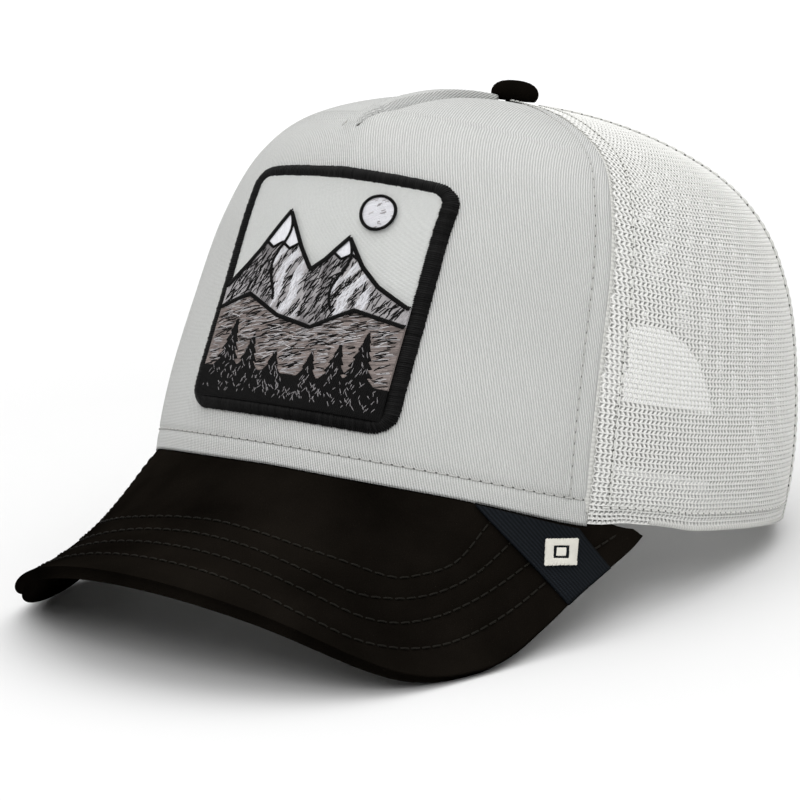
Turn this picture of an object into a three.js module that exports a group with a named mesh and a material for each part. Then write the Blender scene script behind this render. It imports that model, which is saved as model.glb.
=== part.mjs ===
// Trucker hat: a stiff twill front panel with a folded centre dart, four net panels with a
// half-moon opening closed by a strap, a curved suede peak, a ribbon label, a bordered patch
// with an embroidered landscape, and a covered button.
// Millimetres. The hat is modelled upright: front towards -Y, wearer's left towards +X,
// rim near Z = 0. It is then tipped back until it rests on its peak and the back of its rim.
import * as THREE from 'three';

// Driving dimensions
const GAP = 0.3;
const PEAK_SEAT_GAP = 0.45;
const PEAK_END_GAP = 0.9;
const FRONT_THICKNESS = 2.0;
const NET_THICKNESS = 1.5;
const CROWN_TOP = 0.965;
const SIDE_SEAM_ANGLE = 122;
const BACK_CENTRE_ANGLE = 183.6;
const RIM_BLEND = 0.12;
const PEAK_END_MARGIN = THREE.MathUtils.degToRad(3);
const RIM_RECOVERY = THREE.MathUtils.degToRad(14);
const RIM_RISE_MOST = 0.8;
const RIM_RISE_SLOPE = 1.3;

// Crown sections in even steps from rim to button: the front, side and back points of each.
const CROWN_ROWS = [
  { frontY: -101.8, frontZ: 9.8, sideX: 83.7, sideZ: 0.7, backY: 98.6, backZ: 2.2 },
  { frontY: -97.6, frontZ: 29.5, sideX: 84.1, sideZ: 22.1, backY: 102.3, backZ: 23.5 },
  { frontY: -90.0, frontZ: 55.6, sideX: 81.8, sideZ: 45.3, backY: 101.4, backZ: 47.0 },
  { frontY: -82.4, frontZ: 81.8, sideX: 77.3, sideZ: 68.6, backY: 95.7, backZ: 70.4 },
  { frontY: -73.4, frontZ: 100.4, sideX: 68.4, sideZ: 88.8, backY: 82.7, backZ: 90.6 },
  { frontY: -59.8, frontZ: 110.4, sideX: 52.8, sideZ: 103.1, backY: 62.5, backZ: 104.5 },
  { frontY: -32.4, frontZ: 116.6, sideX: 27.2, sideZ: 113.3, backY: 32.1, backZ: 114.1 },
  { frontY: -1.3, frontZ: 116.5, sideX: 0.0, sideZ: 116.5, backY: -1.3, backZ: 116.5 },
];

// Squareness of the front and back halves of the same sections. Two is an ellipse.
const SQUARENESS_ROWS = [
  { front: 2.28, back: 2.36 },
  { front: 2.28, back: 2.36 },
  { front: 2.28, back: 2.36 },
  { front: 2.28, back: 2.36 },
  { front: 2.28, back: 2.36 },
  { front: 2.28, back: 2.36 },
  { front: 2.14, back: 2.36 },
  { front: 2.0, back: 2.0 },
];

// Front seam: its angle round the crown, in even steps from rim to button.
const FRONT_SEAM_ROWS = [
  { angle: 60.6 },
  { angle: 59.0 },
  { angle: 58.6 },
  { angle: 59.6 },
  { angle: 61.4 },
  { angle: 65.0 },
  { angle: 63.8 },
  { angle: 63.0 },
];

// Centre dart: a folded band beside the centre line and the crease below it.
const DART_START = 0.588;
const CREASE_HEIGHT = 2.6;
const CREASE_SPREAD = 9;
const CREASE_FADE = 0.12;
const DART_BAND_WIDTH = 4.5;
const DART_BAND_RISE = 0.8;

// Peak: a bent and sloping board. The bend drops the sides by the square and the fourth
// power of the distance from the middle.
const PEAK_THICKNESS = 3.3;
const PEAK_END_THICKNESS = 1.5;
const PEAK_THINS_FROM = THREE.MathUtils.degToRad(78);
const PEAK_THINS_TO = THREE.MathUtils.degToRad(103);
const PEAK_SLOPE = 0.730;
const PEAK_CURL_UP = -0.276;
const PEAK_ROOT_Y = -101.8;
const PEAK_ROOT_Z = 6.72;
const PEAK_HALF_WIDTH = 80;
const PEAK_DROP_SQUARE = 24.0;
const PEAK_DROP_FOURTH = 23.0;
const PEAK_DROP_GROWTH = 0.063;
const PEAK_END_DROP = 10.3;
const PEAK_END_DROP_FROM = 5;
const PEAK_END_DROP_TO = 45;
const PEAK_REFERENCE_LENGTH = 60;
const PEAK_CENTRE_S = -20;
const PEAK_TUCK = 3.0;
const PEAK_END_SPAN = 1.6;

// Peak outline: distance of its edge from a point on its middle line, by angle.
const PEAK_OUTLINE_ROWS = [
  { angle: 0, reach: 82.6 },
  { angle: 25, reach: 84.9 },
  { angle: 45, reach: 88.3 },
  { angle: 60, reach: 84.0 },
  { angle: 75, reach: 79.2 },
  { angle: 90, reach: 79.0 },
  { angle: 105, reach: 83.4 },
];

// Back opening and strap
const ARCH_CENTRE_X = -6;
const ARCH_HALF_WIDTH = 31;
const ARCH_HEIGHT = 50;
const ARCH_SQUARENESS = 2.2;
const STRAP_LOW = 5;
const STRAP_HIGH = 27.5;
const STRAP_THICKNESS = 1.5;
const STRAP_LAP = 12;

// Ribbon label across the peak at the wearer's left
const LABEL_RIM_S = -18.9;
const LABEL_EDGE_S = -14.8;
const LABEL_RIM_WIDTH = 12.0;
const LABEL_WIDTH = 15.2;
const LABEL_THICKNESS = 0.8;
const LABEL_RIM_CLEARANCE = 0.8;
const LABEL_UNDER = 7;
const MOTIF_THICKNESS = 0.6;
const MOTIF_S = -16.2;
const MOTIF_FROM_EDGE = 12.5;
const MOTIF_LENGTH = 11;
const MOTIF_WIDTH = 12;

// Patch on the front panel
const PATCH_WIDTH = 70;
const PATCH_HEIGHT = 72.5;
const PATCH_MIDDLE = 0.294;
const PATCH_STEP = 0.4 / 72.5;
const PATCH_CORNER = 7.5;
const PATCH_BORDER = 5;
const PATCH_THICKNESS = 1.2;
const BORDER_THICKNESS = 2.1;
const STITCH_THICKNESS = 0.8;

// Landscape on the patch, measured from the patch's middle: trees, hills, mountains, moon
const TREE_FLOOR = -23;
const TREES = [
  { a: -22, height: 13, halfWidth: 5 },
  { a: -14, height: 9.5, halfWidth: 4 },
  { a: -5, height: 6, halfWidth: 3 },
  { a: 7, height: 7, halfWidth: 3 },
  { a: 15, height: 10, halfWidth: 4 },
  { a: 22, height: 14, halfWidth: 5 },
];
const HILL_ROWS = [
  { a: -30, b: -7 },
  { a: -20, b: -3 },
  { a: -8, b: -8 },
  { a: 4, b: -10 },
  { a: 16, b: -4 },
  { a: 30, b: -6 },
];
const PEAK_ROWS = [
  { a: -30, b: -1 },
  { a: -24, b: 5 },
  { a: -20.5, b: 9 },
  { a: -13, b: 20 },
  { a: -6, b: 10.5 },
  { a: -1, b: 5 },
  { a: 3, b: 8 },
  { a: 9, b: 14.5 },
  { a: 15, b: 7.5 },
  { a: 21, b: 3 },
  { a: 30, b: -1 },
];
const SNOW_CAPS = [
  { name: 'patch_snow_left', fromA: -19, toA: -7, floor: 10.6 },
  { name: 'patch_snow_right', fromA: 5, toA: 13, floor: 9.4 },
];
const MOON = { a: 15, b: 22.5, size: 10 };

// Button
const BUTTON_RADIUS = 7.1;
const BUTTON_HEIGHT = 6.2;
const BUTTON_POST_RADIUS = 2.6;
const BUTTON_SEAT_Z = 116.9;
const BUTTON_CENTRE_Y = -1.3;
const BUTTON_BACK_Z = 113.0;

const MATERIALS = {
  twill: new THREE.MeshStandardMaterial({ color: 0xcbcdca, roughness: 0.9, metalness: 0 }),
  net: new THREE.MeshStandardMaterial({ color: 0xd6d6d1, roughness: 0.85, metalness: 0 }),
  suede: new THREE.MeshStandardMaterial({ color: 0x14110f, roughness: 0.95, metalness: 0 }),
  ribbon: new THREE.MeshStandardMaterial({ color: 0x161c22, roughness: 0.8, metalness: 0 }),
  cream: new THREE.MeshStandardMaterial({ color: 0xe1dfd4, roughness: 0.8, metalness: 0 }),
  blackThread: new THREE.MeshStandardMaterial({ color: 0x0c0c0c, roughness: 0.6, metalness: 0 }),
  whiteThread: new THREE.MeshStandardMaterial({ color: 0xe6e6ea, roughness: 0.55, metalness: 0 }),
  taupeThread: new THREE.MeshStandardMaterial({ color: 0x6f625e, roughness: 0.55, metalness: 0 }),
  greyThread: new THREE.MeshStandardMaterial({ color: 0xa3a0a3, roughness: 0.55, metalness: 0 }),
  strap: new THREE.MeshStandardMaterial({ color: 0xd2d2cd, roughness: 0.5, metalness: 0 }),
};

const radians = THREE.MathUtils.degToRad;
const lerp = THREE.MathUtils.lerp;
const clamp = THREE.MathUtils.clamp;
const smoothstep = THREE.MathUtils.smoothstep;

// Smooth curve through one column of evenly spaced rows, for t from 0 to 1.
function alongRows(rows, column, t) {
  const last = rows.length - 1;
  const place = clamp(t, 0, 1) * last;
  const index = Math.min(Math.floor(place), last - 1);
  const f = place - index;
  const value = (k) => rows[k][column];
  const b = value(index);
  const c = value(index + 1);
  const a = index > 0 ? value(index - 1) : 3 * b - 3 * c + value(index + 2);
  const d = index < last - 1 ? value(index + 2) : 3 * c - 3 * b + value(index - 1);
  const square = 2 * a - 5 * b + 4 * c - d;
  const cube = 3 * b - a - 3 * c + d;
  return 0.5 * (2 * b + (c - a) * f + square * f * f + cube * f * f * f);
}

// Crown surface

function crownBase(angle, level) {
  const c = Math.cos(angle);
  const s = Math.sin(angle);
  const half = c >= 0 ? 'front' : 'back';
  const power = 2 / alongRows(SQUARENESS_ROWS, half, level);
  const across = Math.sign(s) * Math.abs(s) ** power;
  const along = Math.abs(c) ** power;
  const sideZ = alongRows(CROWN_ROWS, 'sideZ', level);
  const centreY = CROWN_ROWS[CROWN_ROWS.length - 1].frontY * smoothstep(level, 0.8, 1);
  const endY = alongRows(CROWN_ROWS, half + 'Y', level);
  const endZ = alongRows(CROWN_ROWS, half + 'Z', level);
  return new THREE.Vector3(
    alongRows(CROWN_ROWS, 'sideX', level) * across,
    centreY + (endY - centreY) * along,
    sideZ + (endZ - sideZ) * c * c,
  );
}

function crownNormal(angle, level) {
  const e = 0.002;
  const high = Math.min(level + e, 1);
  const low = Math.max(level - e, 0);
  const round = crownBase(angle + e, level).sub(crownBase(angle - e, level));
  const up = crownBase(angle, high).sub(crownBase(angle, low));
  return round.cross(up).normalize();
}

function creaseRise(x, level) {
  const fade = Math.exp(-(((level - DART_START) / CREASE_FADE) ** 2));
  return CREASE_HEIGHT * fade * Math.exp(-Math.abs(x) / CREASE_SPREAD);
}

function bandRise(x, level) {
  const started = smoothstep(level, DART_START - 0.01, DART_START + 0.02);
  const inner = 1 - smoothstep(x, -0.6, 0);
  const outer = smoothstep(x, -DART_BAND_WIDTH - 0.6, -DART_BAND_WIDTH);
  return DART_BAND_RISE * started * inner * outer;
}

// A point of the crown, lifted off its outer surface along the normal. Near the peak the
// bottom edge is shifted so that the panel stands on the peak's upper face.
function crownPoint(angle, level, lift, banded) {
  const point = crownBase(angle, level);
  const normal = crownNormal(angle, level);
  let rise = creaseRise(point.x, level) + lift;
  if (banded) rise += bandRise(point.x, level);
  point.addScaledVector(normal, rise);
  point.z += rimShift(angle, lift) * Math.max(0, 1 - level / RIM_BLEND) ** 2;
  return point;
}

// How far the rim moves up or down to stand on the peak. Past the peak's end it eases back.
function rimShift(angle, lift) {
  const turned = THREE.MathUtils.euclideanModulo(angle + Math.PI, 2 * Math.PI) - Math.PI;
  const away = Math.abs(turned);
  const over = 1 - smoothstep(away, PEAK_END_ANGLE + PEAK_END_MARGIN, PEAK_END_ANGLE + RIM_RECOVERY);
  if (over === 0) return 0;
  const held = Math.sign(turned) * Math.min(away, PEAK_END_ANGLE);
  const foot = crownBase(held, 0).addScaledVector(crownNormal(held, 0), lift);
  const rise = peakTopHeight(foot.x, foot.y) + PEAK_SEAT_GAP - foot.z;
  return over * Math.min(rise, RIM_RISE_MOST - RIM_RISE_SLOPE * lift);
}

function frontSeamAngle(level) {
  return radians(alongRows(FRONT_SEAM_ROWS, 'angle', level));
}

// Half of a seam's gap as an angle at one level of the crown.
function seamGapAngle(angle, level) {
  const point = crownBase(angle, level);
  return GAP / 2 / Math.hypot(point.x, point.y - BUTTON_CENTRE_Y);
}

// Peak surface

function peakMiddle(x, s) {
  const slope = PEAK_SLOPE + (PEAK_CURL_UP * s) / PEAK_REFERENCE_LENGTH;
  const q = x / PEAK_HALF_WIDTH;
  const growth = 1 + (PEAK_DROP_GROWTH * s) / PEAK_REFERENCE_LENGTH;
  const endDrop = PEAK_END_DROP * q ** 4 * smoothstep(-s, PEAK_END_DROP_FROM, PEAK_END_DROP_TO);
  const drop = (PEAK_DROP_SQUARE * q ** 2 + PEAK_DROP_FOURTH * q ** 4) * growth + endDrop;
  return new THREE.Vector3(
    x,
    PEAK_ROOT_Y - s * Math.cos(slope) + drop * Math.sin(slope),
    PEAK_ROOT_Z - s * Math.sin(slope) - drop * Math.cos(slope),
  );
}

function peakNormal(x, s) {
  const e = 0.05;
  const across = peakMiddle(x + e, s).sub(peakMiddle(x - e, s));
  const ahead = peakMiddle(x, s + e).sub(peakMiddle(x, s - e));
  return ahead.cross(across).normalize();
}

// Half of the board's thickness, thinner towards the ends where the peak runs into the rim.
function peakHalf(x, s) {
  const angle = Math.atan2(Math.abs(x), s - PEAK_CENTRE_S);
  const share = smoothstep(angle, PEAK_THINS_FROM, PEAK_THINS_TO);
  return lerp(PEAK_THICKNESS, PEAK_END_THICKNESS, share) / 2;
}

function peakSkin(x, s, lift) {
  return peakMiddle(x, s).addScaledVector(peakNormal(x, s), lift);
}

// Height of the peak's upper face above a point of the plan.
function peakTopHeight(x, y) {
  let s = (PEAK_ROOT_Y - y) / Math.cos(PEAK_SLOPE);
  let across = x;
  let point = peakSkin(across, s, peakHalf(across, s));
  for (let i = 0; i < 20; i++) {
    s += (point.y - y) / Math.cos(PEAK_SLOPE);
    across += x - point.x;
    point = peakSkin(across, s, peakHalf(across, s));
  }
  return point.z;
}

// Smooth curve through the outline's rows, whose angles are not evenly spaced.
function peakReach(angle) {
  const rows = PEAK_OUTLINE_ROWS;
  const degrees = clamp(THREE.MathUtils.radToDeg(Math.abs(angle)), 0, rows[rows.length - 1].angle);
  let index = 0;
  while (index < rows.length - 2 && rows[index + 1].angle < degrees) index += 1;
  const slopeAt = (k) => {
    if (k === 0) return 0;
    const before = rows[k - 1];
    const after = rows[Math.min(k + 1, rows.length - 1)];
    return (after.reach - before.reach) / (after.angle - before.angle);
  };
  const a = rows[index];
  const b = rows[index + 1];
  const span = b.angle - a.angle;
  const f = (degrees - a.angle) / span;
  const curve = new THREE.CubicBezierCurve(
    new THREE.Vector2(0, a.reach),
    new THREE.Vector2(1 / 3, a.reach + (slopeAt(index) * span) / 3),
    new THREE.Vector2(2 / 3, b.reach - (slopeAt(index + 1) * span) / 3),
    new THREE.Vector2(1, b.reach),
  );
  return curve.getPoint(f).y;
}

function peakFlat(angle, reach) {
  return { x: reach * Math.sin(angle), s: PEAK_CENTRE_S + reach * Math.cos(angle) };
}

// Angle round the crown at which a point of the plan lies, in the crown's own measure.
function rimAngleAt({ x, y }) {
  const rim = CROWN_ROWS[0];
  const power = SQUARENESS_ROWS[0].front / 2;
  const across = (Math.abs(x) / rim.sideX) ** power;
  const along = (Math.max(-y, 0) / -rim.frontY) ** power;
  return Math.atan2(across, along);
}

// Distance, in the flat, from the outline's centre to the line where the peak tucks in
// under the crown, or stops short of the rim where it is too steep to go under it.
function peakInnerReach(angle) {
  const inside = (reach) => {
    const flat = peakFlat(angle, reach);
    const top = peakSkin(flat.x, flat.s, peakHalf(flat.x, flat.s));
    const rim = crownBase(rimAngleAt(top), 0);
    const depth = Math.hypot(rim.x, rim.y) - Math.hypot(top.x, top.y);
    const highest = rim.z + RIM_RISE_MOST - PEAK_END_GAP + RIM_RISE_SLOPE * Math.max(depth, 0);
    return depth > PEAK_TUCK || top.z > highest;
  };
  let low = 5;
  let high = 120;
  for (let i = 0; i < 40; i++) {
    const middle = (low + high) / 2;
    if (inside(middle)) low = middle;
    else high = middle;
  }
  return low;
}

function findPeakEnd() {
  let low = radians(60);
  let high = radians(105);
  for (let i = 0; i < 40; i++) {
    const middle = (low + high) / 2;
    if (peakReach(middle) - peakInnerReach(middle) > PEAK_END_SPAN) low = middle;
    else high = middle;
  }
  return low;
}

const PEAK_SWEEP = findPeakEnd();

// Angle round the crown at which the peak ends.
function findPeakEndAngle() {
  const angles = [peakReach(PEAK_SWEEP), peakInnerReach(PEAK_SWEEP)].map((reach) => {
    const flat = peakFlat(PEAK_SWEEP, reach);
    return rimAngleAt(peakMiddle(flat.x, flat.s));
  });
  return Math.max(...angles);
}

const PEAK_END_ANGLE = findPeakEndAngle();

// Closed meshes

// Two grids of points, [row][column], joined into one closed wall. The first grid is the
// outer skin and its columns run anticlockwise seen from outside.
function wall(outer, inner) {
  const rows = outer.length;
  const columns = outer[0].length;
  const positions = [];
  for (const grid of [outer, inner]) {
    for (const row of grid) {
      for (const point of row) positions.push(point.x, point.y, point.z);
    }
  }
  const out = (j, i) => j * columns + i;
  const inn = (j, i) => rows * columns + j * columns + i;
  const indices = [];
  const quad = (a, b, c, d) => indices.push(a, b, c, a, c, d);
  for (let j = 0; j < rows - 1; j++) {
    for (let i = 0; i < columns - 1; i++) {
      quad(out(j, i), out(j, i + 1), out(j + 1, i + 1), out(j + 1, i));
      quad(inn(j, i), inn(j + 1, i), inn(j + 1, i + 1), inn(j, i + 1));
    }
    quad(out(j, 0), out(j + 1, 0), inn(j + 1, 0), inn(j, 0));
    quad(out(j + 1, columns - 1), out(j, columns - 1), inn(j, columns - 1), inn(j + 1, columns - 1));
  }
  for (let i = 0; i < columns - 1; i++) {
    quad(out(0, i + 1), out(0, i), inn(0, i), inn(0, i + 1));
    quad(out(rows - 1, i), out(rows - 1, i + 1), inn(rows - 1, i + 1), inn(rows - 1, i));
  }
  return indexedGeometry(positions, indices);
}

function indexedGeometry(positions, indices) {
  const geometry = new THREE.BufferGeometry();
  geometry.setAttribute('position', new THREE.Float32BufferAttribute(positions, 3));
  geometry.setIndex(indices);
  geometry.computeVertexNormals();
  return geometry;
}

function grid(rows, columns, place) {
  return Array.from({ length: rows + 1 }, (_, j) => (
    Array.from({ length: columns + 1 }, (_, i) => place(i / columns, j / rows))
  ));
}

function named(name, geometry, material) {
  const mesh = new THREE.Mesh(geometry, material);
  mesh.name = name;
  return mesh;
}

// Crown panels

function frontPanel() {
  const skin = (lift, banded) => grid(16, 26, (u, v) => {
    const level = v * CROWN_TOP;
    const t = 2 * u - 1;
    const edge = frontSeamAngle(level);
    const spread = Math.sign(t) * Math.abs(t) ** 1.3;
    const angle = spread * (edge - seamGapAngle(edge, level));
    return crownPoint(angle, level, lift, banded);
  });
  return wall(skin(0, true), skin(-FRONT_THICKNESS, false));
}

function sidePanel(side) {
  const seam = radians(SIDE_SEAM_ANGLE);
  const skin = (lift) => grid(16, 12, (u, v) => {
    const level = v * CROWN_TOP;
    const front = frontSeamAngle(level) + seamGapAngle(frontSeamAngle(level), level);
    const back = seam - seamGapAngle(seam, level);
    const angle = side > 0 ? lerp(front, back, u) : -lerp(back, front, u);
    return crownPoint(angle, level, lift, false);
  });
  return wall(skin(0), skin(-NET_THICKNESS));
}

function angleAtBackX(x, level) {
  const sideX = alongRows(CROWN_ROWS, 'sideX', level);
  const squareness = alongRows(SQUARENESS_ROWS, 'back', level);
  const across = (Math.abs(x) / sideX) ** (squareness / 2);
  return Math.PI - Math.sign(x) * Math.asin(clamp(across, 0, 1));
}

function levelAtBackHeight(z) {
  const rim = CROWN_ROWS[0].backZ;
  const step = CROWN_ROWS[2].backZ - rim;
  return ((z - rim) / step) * (2 / (CROWN_ROWS.length - 1));
}

// The back panel's lower edge runs along the rim to the foot of the half-moon, then up its
// side to the centre seam.
function backPanelFoot(side, u) {
  const seam = side > 0 ? radians(SIDE_SEAM_ANGLE) : radians(360 - SIDE_SEAM_ANGLE);
  const foot = angleAtBackX(ARCH_CENTRE_X + side * ARCH_HALF_WIDTH, 0);
  const rimShare = 0.45;
  if (u <= rimShare) return { angle: lerp(seam, foot, u / rimShare), level: 0 };
  const turn = ((u - rimShare) / (1 - rimShare)) * (Math.PI / 2);
  const across = Math.cos(turn) ** (2 / ARCH_SQUARENESS);
  const up = Math.sin(turn) ** (2 / ARCH_SQUARENESS);
  const level = levelAtBackHeight(CROWN_ROWS[0].backZ + ARCH_HEIGHT * up);
  const x = ARCH_CENTRE_X + side * ARCH_HALF_WIDTH * across;
  return { angle: angleAtBackX(x, level), level };
}

function backPanel(side) {
  const seam = side > 0 ? radians(SIDE_SEAM_ANGLE) : radians(360 - SIDE_SEAM_ANGLE);
  const centre = radians(BACK_CENTRE_ANGLE);
  const skin = (lift) => grid(16, 16, (column, v) => {
    const u = side > 0 ? column : 1 - column;
    const low = backPanelFoot(side, u);
    const level = lerp(low.level, CROWN_TOP, v);
    const angle = lerp(low.angle, lerp(seam, centre, u), v ** 0.7);
    const inset = seamGapAngle(angle, level) * side;
    return crownPoint(angle + inset * (1 - 2 * u), level, lift, false);
  });
  return wall(skin(0), skin(-NET_THICKNESS));
}

function snapStrap() {
  const reach = ARCH_HALF_WIDTH + STRAP_LAP;
  const skin = (lift) => grid(3, 14, (u, v) => {
    const level = levelAtBackHeight(lerp(STRAP_LOW, STRAP_HIGH, v));
    const x = lerp(ARCH_CENTRE_X + reach, ARCH_CENTRE_X - reach, u);
    return crownPoint(angleAtBackX(x, level), level, lift, false);
  });
  const outer = -NET_THICKNESS - GAP;
  return wall(skin(outer), skin(outer - STRAP_THICKNESS));
}

// Peak with a rounded outer edge, from above round the edge to below
function peak() {
  const flatRows = 6;
  const edgeRows = 6;
  const loopAt = (angle) => {
    const innerReach = peakInnerReach(angle);
    const outerReach = Math.max(peakReach(angle), innerReach);
    const points = [];
    for (let j = 0; j <= flatRows; j++) {
      const flat = peakFlat(angle, lerp(innerReach, outerReach, j / flatRows));
      points.push(peakSkin(flat.x, flat.s, peakHalf(flat.x, flat.s)));
    }
    const rim = peakFlat(angle, outerReach);
    const half = peakHalf(rim.x, rim.s);
    const outward = peakOutward(angle, outerReach);
    for (let k = 1; k < edgeRows; k++) {
      const turn = Math.PI / 2 - (Math.PI * k) / edgeRows;
      const point = peakSkin(rim.x, rim.s, half * Math.sin(turn));
      points.push(point.addScaledVector(outward, half * Math.cos(turn)));
    }
    for (let j = flatRows; j >= 0; j--) {
      const flat = peakFlat(angle, lerp(innerReach, outerReach, j / flatRows));
      points.push(peakSkin(flat.x, flat.s, -peakHalf(flat.x, flat.s)));
    }
    return points;
  };
  const columns = 42;
  const loops = Array.from({ length: columns + 1 }, (_, i) => (
    loopAt(lerp(-PEAK_SWEEP, PEAK_SWEEP, i / columns))
  ));
  return closedSweep(loops);
}

// Direction in the peak's surface that points out across its edge.
function peakOutward(angle, reach) {
  const e = 0.01;
  const at = (turn) => {
    const flat = peakFlat(turn, peakReach(turn));
    return peakMiddle(flat.x, flat.s);
  };
  const along = at(Math.min(angle + e, PEAK_SWEEP)).sub(at(Math.max(angle - e, -PEAK_SWEEP)));
  const flat = peakFlat(angle, reach);
  const normal = peakNormal(flat.x, flat.s);
  return along.cross(normal).normalize().negate();
}

// Loops of points skinned one to the next, with fanned end caps.
function closedSweep(loops) {
  const count = loops[0].length;
  const positions = [];
  for (const loop of loops) {
    for (const point of loop) positions.push(point.x, point.y, point.z);
  }
  const indices = [];
  const at = (i, k) => i * count + (k % count);
  for (let i = 0; i < loops.length - 1; i++) {
    for (let k = 0; k < count; k++) {
      indices.push(at(i, k), at(i, k + 1), at(i + 1, k + 1));
      indices.push(at(i, k), at(i + 1, k + 1), at(i + 1, k));
    }
  }
  const last = loops.length - 1;
  const half = Math.floor(count / 2);
  for (let k = 0; k < half; k++) {
    const low = count - 1 - k;
    if (low - 1 <= k) break;
    indices.push(at(0, k), at(0, low), at(0, k + 1));
    indices.push(at(last, k), at(last, k + 1), at(last, low));
    if (low - 1 > k + 1) {
      indices.push(at(0, k + 1), at(0, low), at(0, low - 1));
      indices.push(at(last, k + 1), at(last, low - 1), at(last, low));
    }
  }
  return outwardGeometry(positions, indices);
}

// Turns a closed mesh's faces outward if its volume comes out negative.
function outwardGeometry(positions, indices) {
  const corner = (k) => new THREE.Vector3().fromArray(positions, 3 * indices[k]);
  let volume = 0;
  for (let k = 0; k < indices.length; k += 3) {
    volume += corner(k).dot(corner(k + 1).cross(corner(k + 2)));
  }
  if (volume > 0) return indexedGeometry(positions, indices);
  const turned = [];
  for (let k = 0; k < indices.length; k += 3) {
    turned.push(indices[k], indices[k + 2], indices[k + 1]);
  }
  return indexedGeometry(positions, turned);
}

// Ribbon label: from the crown's rim out over the peak, round its edge and back under it

function outlineAngleAtS(s) {
  let low = radians(45);
  let high = PEAK_SWEEP;
  for (let i = 0; i < 30; i++) {
    const middle = (low + high) / 2;
    if (peakFlat(middle, peakReach(middle)).s > s) low = middle;
    else high = middle;
  }
  return low;
}

function rimXAtS(s) {
  const rim = CROWN_ROWS[0];
  const power = SQUARENESS_ROWS[0].front;
  let low = 20;
  let high = rim.sideX;
  for (let i = 0; i < 30; i++) {
    const middle = (low + high) / 2;
    const p = peakSkin(middle, s, peakHalf(middle, s));
    const across = (Math.abs(p.x) / rim.sideX) ** power;
    const along = (Math.abs(p.y) / -rim.frontY) ** power;
    if (across + along < 1) low = middle;
    else high = middle;
  }
  return low + LABEL_RIM_CLEARANCE;
}

// Flat X at a distance in from the edge, measured along the peak's surface.
function xInFromEdge(s, distance) {
  const angle = outlineAngleAtS(s);
  let x = peakFlat(angle, peakReach(angle)).x;
  const step = 0.1;
  let left = distance;
  while (left > 0) {
    left -= peakMiddle(x, s).distanceTo(peakMiddle(x - step, s));
    x -= step;
  }
  return x;
}

function peakLabel() {
  const topColumns = 10;
  const edgeColumns = 6;
  const underColumns = 3;
  const total = topColumns + edgeColumns + underColumns;
  const rows = 5;
  const skin = (extra) => grid(rows, total, (u, v) => {
    const column = Math.round(u * total);
    const share = Math.min(column / topColumns, 1);
    const width = lerp(LABEL_RIM_WIDTH, LABEL_WIDTH, share);
    const s = lerp(LABEL_RIM_S, LABEL_EDGE_S, share) + width * (0.5 - v);
    const angle = outlineAngleAtS(s);
    const edge = peakFlat(angle, peakReach(angle));
    const over = (x) => peakHalf(x, s) + GAP + extra;
    if (column <= topColumns) {
      const x = lerp(rimXAtS(s), edge.x, column / topColumns);
      return peakSkin(x, s, over(x));
    }
    const lift = over(edge.x);
    if (column < topColumns + edgeColumns) {
      const turn = Math.PI / 2 - (Math.PI * (column - topColumns)) / edgeColumns;
      const outward = peakOutward(angle, peakReach(angle));
      const point = peakSkin(edge.x, s, lift * Math.sin(turn));
      return point.addScaledVector(outward, lift * Math.cos(turn));
    }
    const back = (column - topColumns - edgeColumns) / underColumns;
    const x = lerp(edge.x, xInFromEdge(s, LABEL_UNDER), back);
    return peakSkin(x, s, -over(x));
  });
  return outwardWall(skin(LABEL_THICKNESS), skin(0));
}

// A plain lozenge woven on the ribbon
function labelMotif() {
  const skin = (extra) => grid(5, 5, (u, v) => {
    const inward = MOTIF_FROM_EDGE + (u + v - 1) * (MOTIF_LENGTH / 2);
    const s = MOTIF_S + (u - v) * (MOTIF_WIDTH / 2);
    const x = xInFromEdge(s, inward);
    return peakSkin(x, s, peakHalf(x, s) + GAP + LABEL_THICKNESS + GAP + extra);
  });
  return outwardWall(skin(MOTIF_THICKNESS), skin(0));
}

function outwardWall(outer, inner) {
  const geometry = wall(outer, inner);
  const positions = Array.from(geometry.attributes.position.array);
  return outwardGeometry(positions, Array.from(geometry.index.array));
}

// Patch

// A point of the patch: a across and b up from the patch's middle.
function patchPoint(a, b, lift) {
  const level = PATCH_MIDDLE + b * PATCH_STEP;
  const sideX = alongRows(CROWN_ROWS, 'sideX', level);
  const squareness = alongRows(SQUARENESS_ROWS, 'front', level);
  const angle = Math.sign(a) * Math.asin((Math.abs(a) / sideX) ** (squareness / 2));
  return crownPoint(angle, level, GAP + lift, false);
}

function roundedHalfWidth(b, width, height, corner) {
  const into = Math.abs(b) - (height / 2 - corner);
  if (into <= 0) return width / 2;
  return width / 2 - corner + Math.sqrt(Math.max(0, corner * corner - into * into));
}

// A thin plate with round corners, centred at one place of the patch.
function roundedPlate({ a, b, width, height, corner, low, high, columns, straightRows }) {
  const cornerRows = 4;
  const levels = [];
  for (let k = 0; k <= cornerRows; k++) {
    levels.push(-height / 2 + corner * (1 - Math.sin((Math.PI / 2) * (k / cornerRows))));
  }
  levels.reverse();
  for (let k = 1; k <= straightRows; k++) {
    levels.push(lerp(corner - height / 2, height / 2 - corner, k / straightRows));
  }
  for (let k = 1; k <= cornerRows; k++) {
    levels.push(height / 2 - corner + corner * Math.sin((Math.PI / 2) * (k / cornerRows)));
  }
  levels.sort((p, q) => p - q);
  const rows = levels.filter((value, k) => k === 0 || value - levels[k - 1] > 1e-6);
  const skin = (lift) => rows.map((rise) => {
    const half = roundedHalfWidth(rise, width, height, corner);
    return Array.from({ length: columns + 1 }, (_, i) => (
      patchPoint(a + lerp(-half, half, i / columns), b + rise, lift)
    ));
  });
  return outwardWall(skin(high), skin(low));
}

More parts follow.
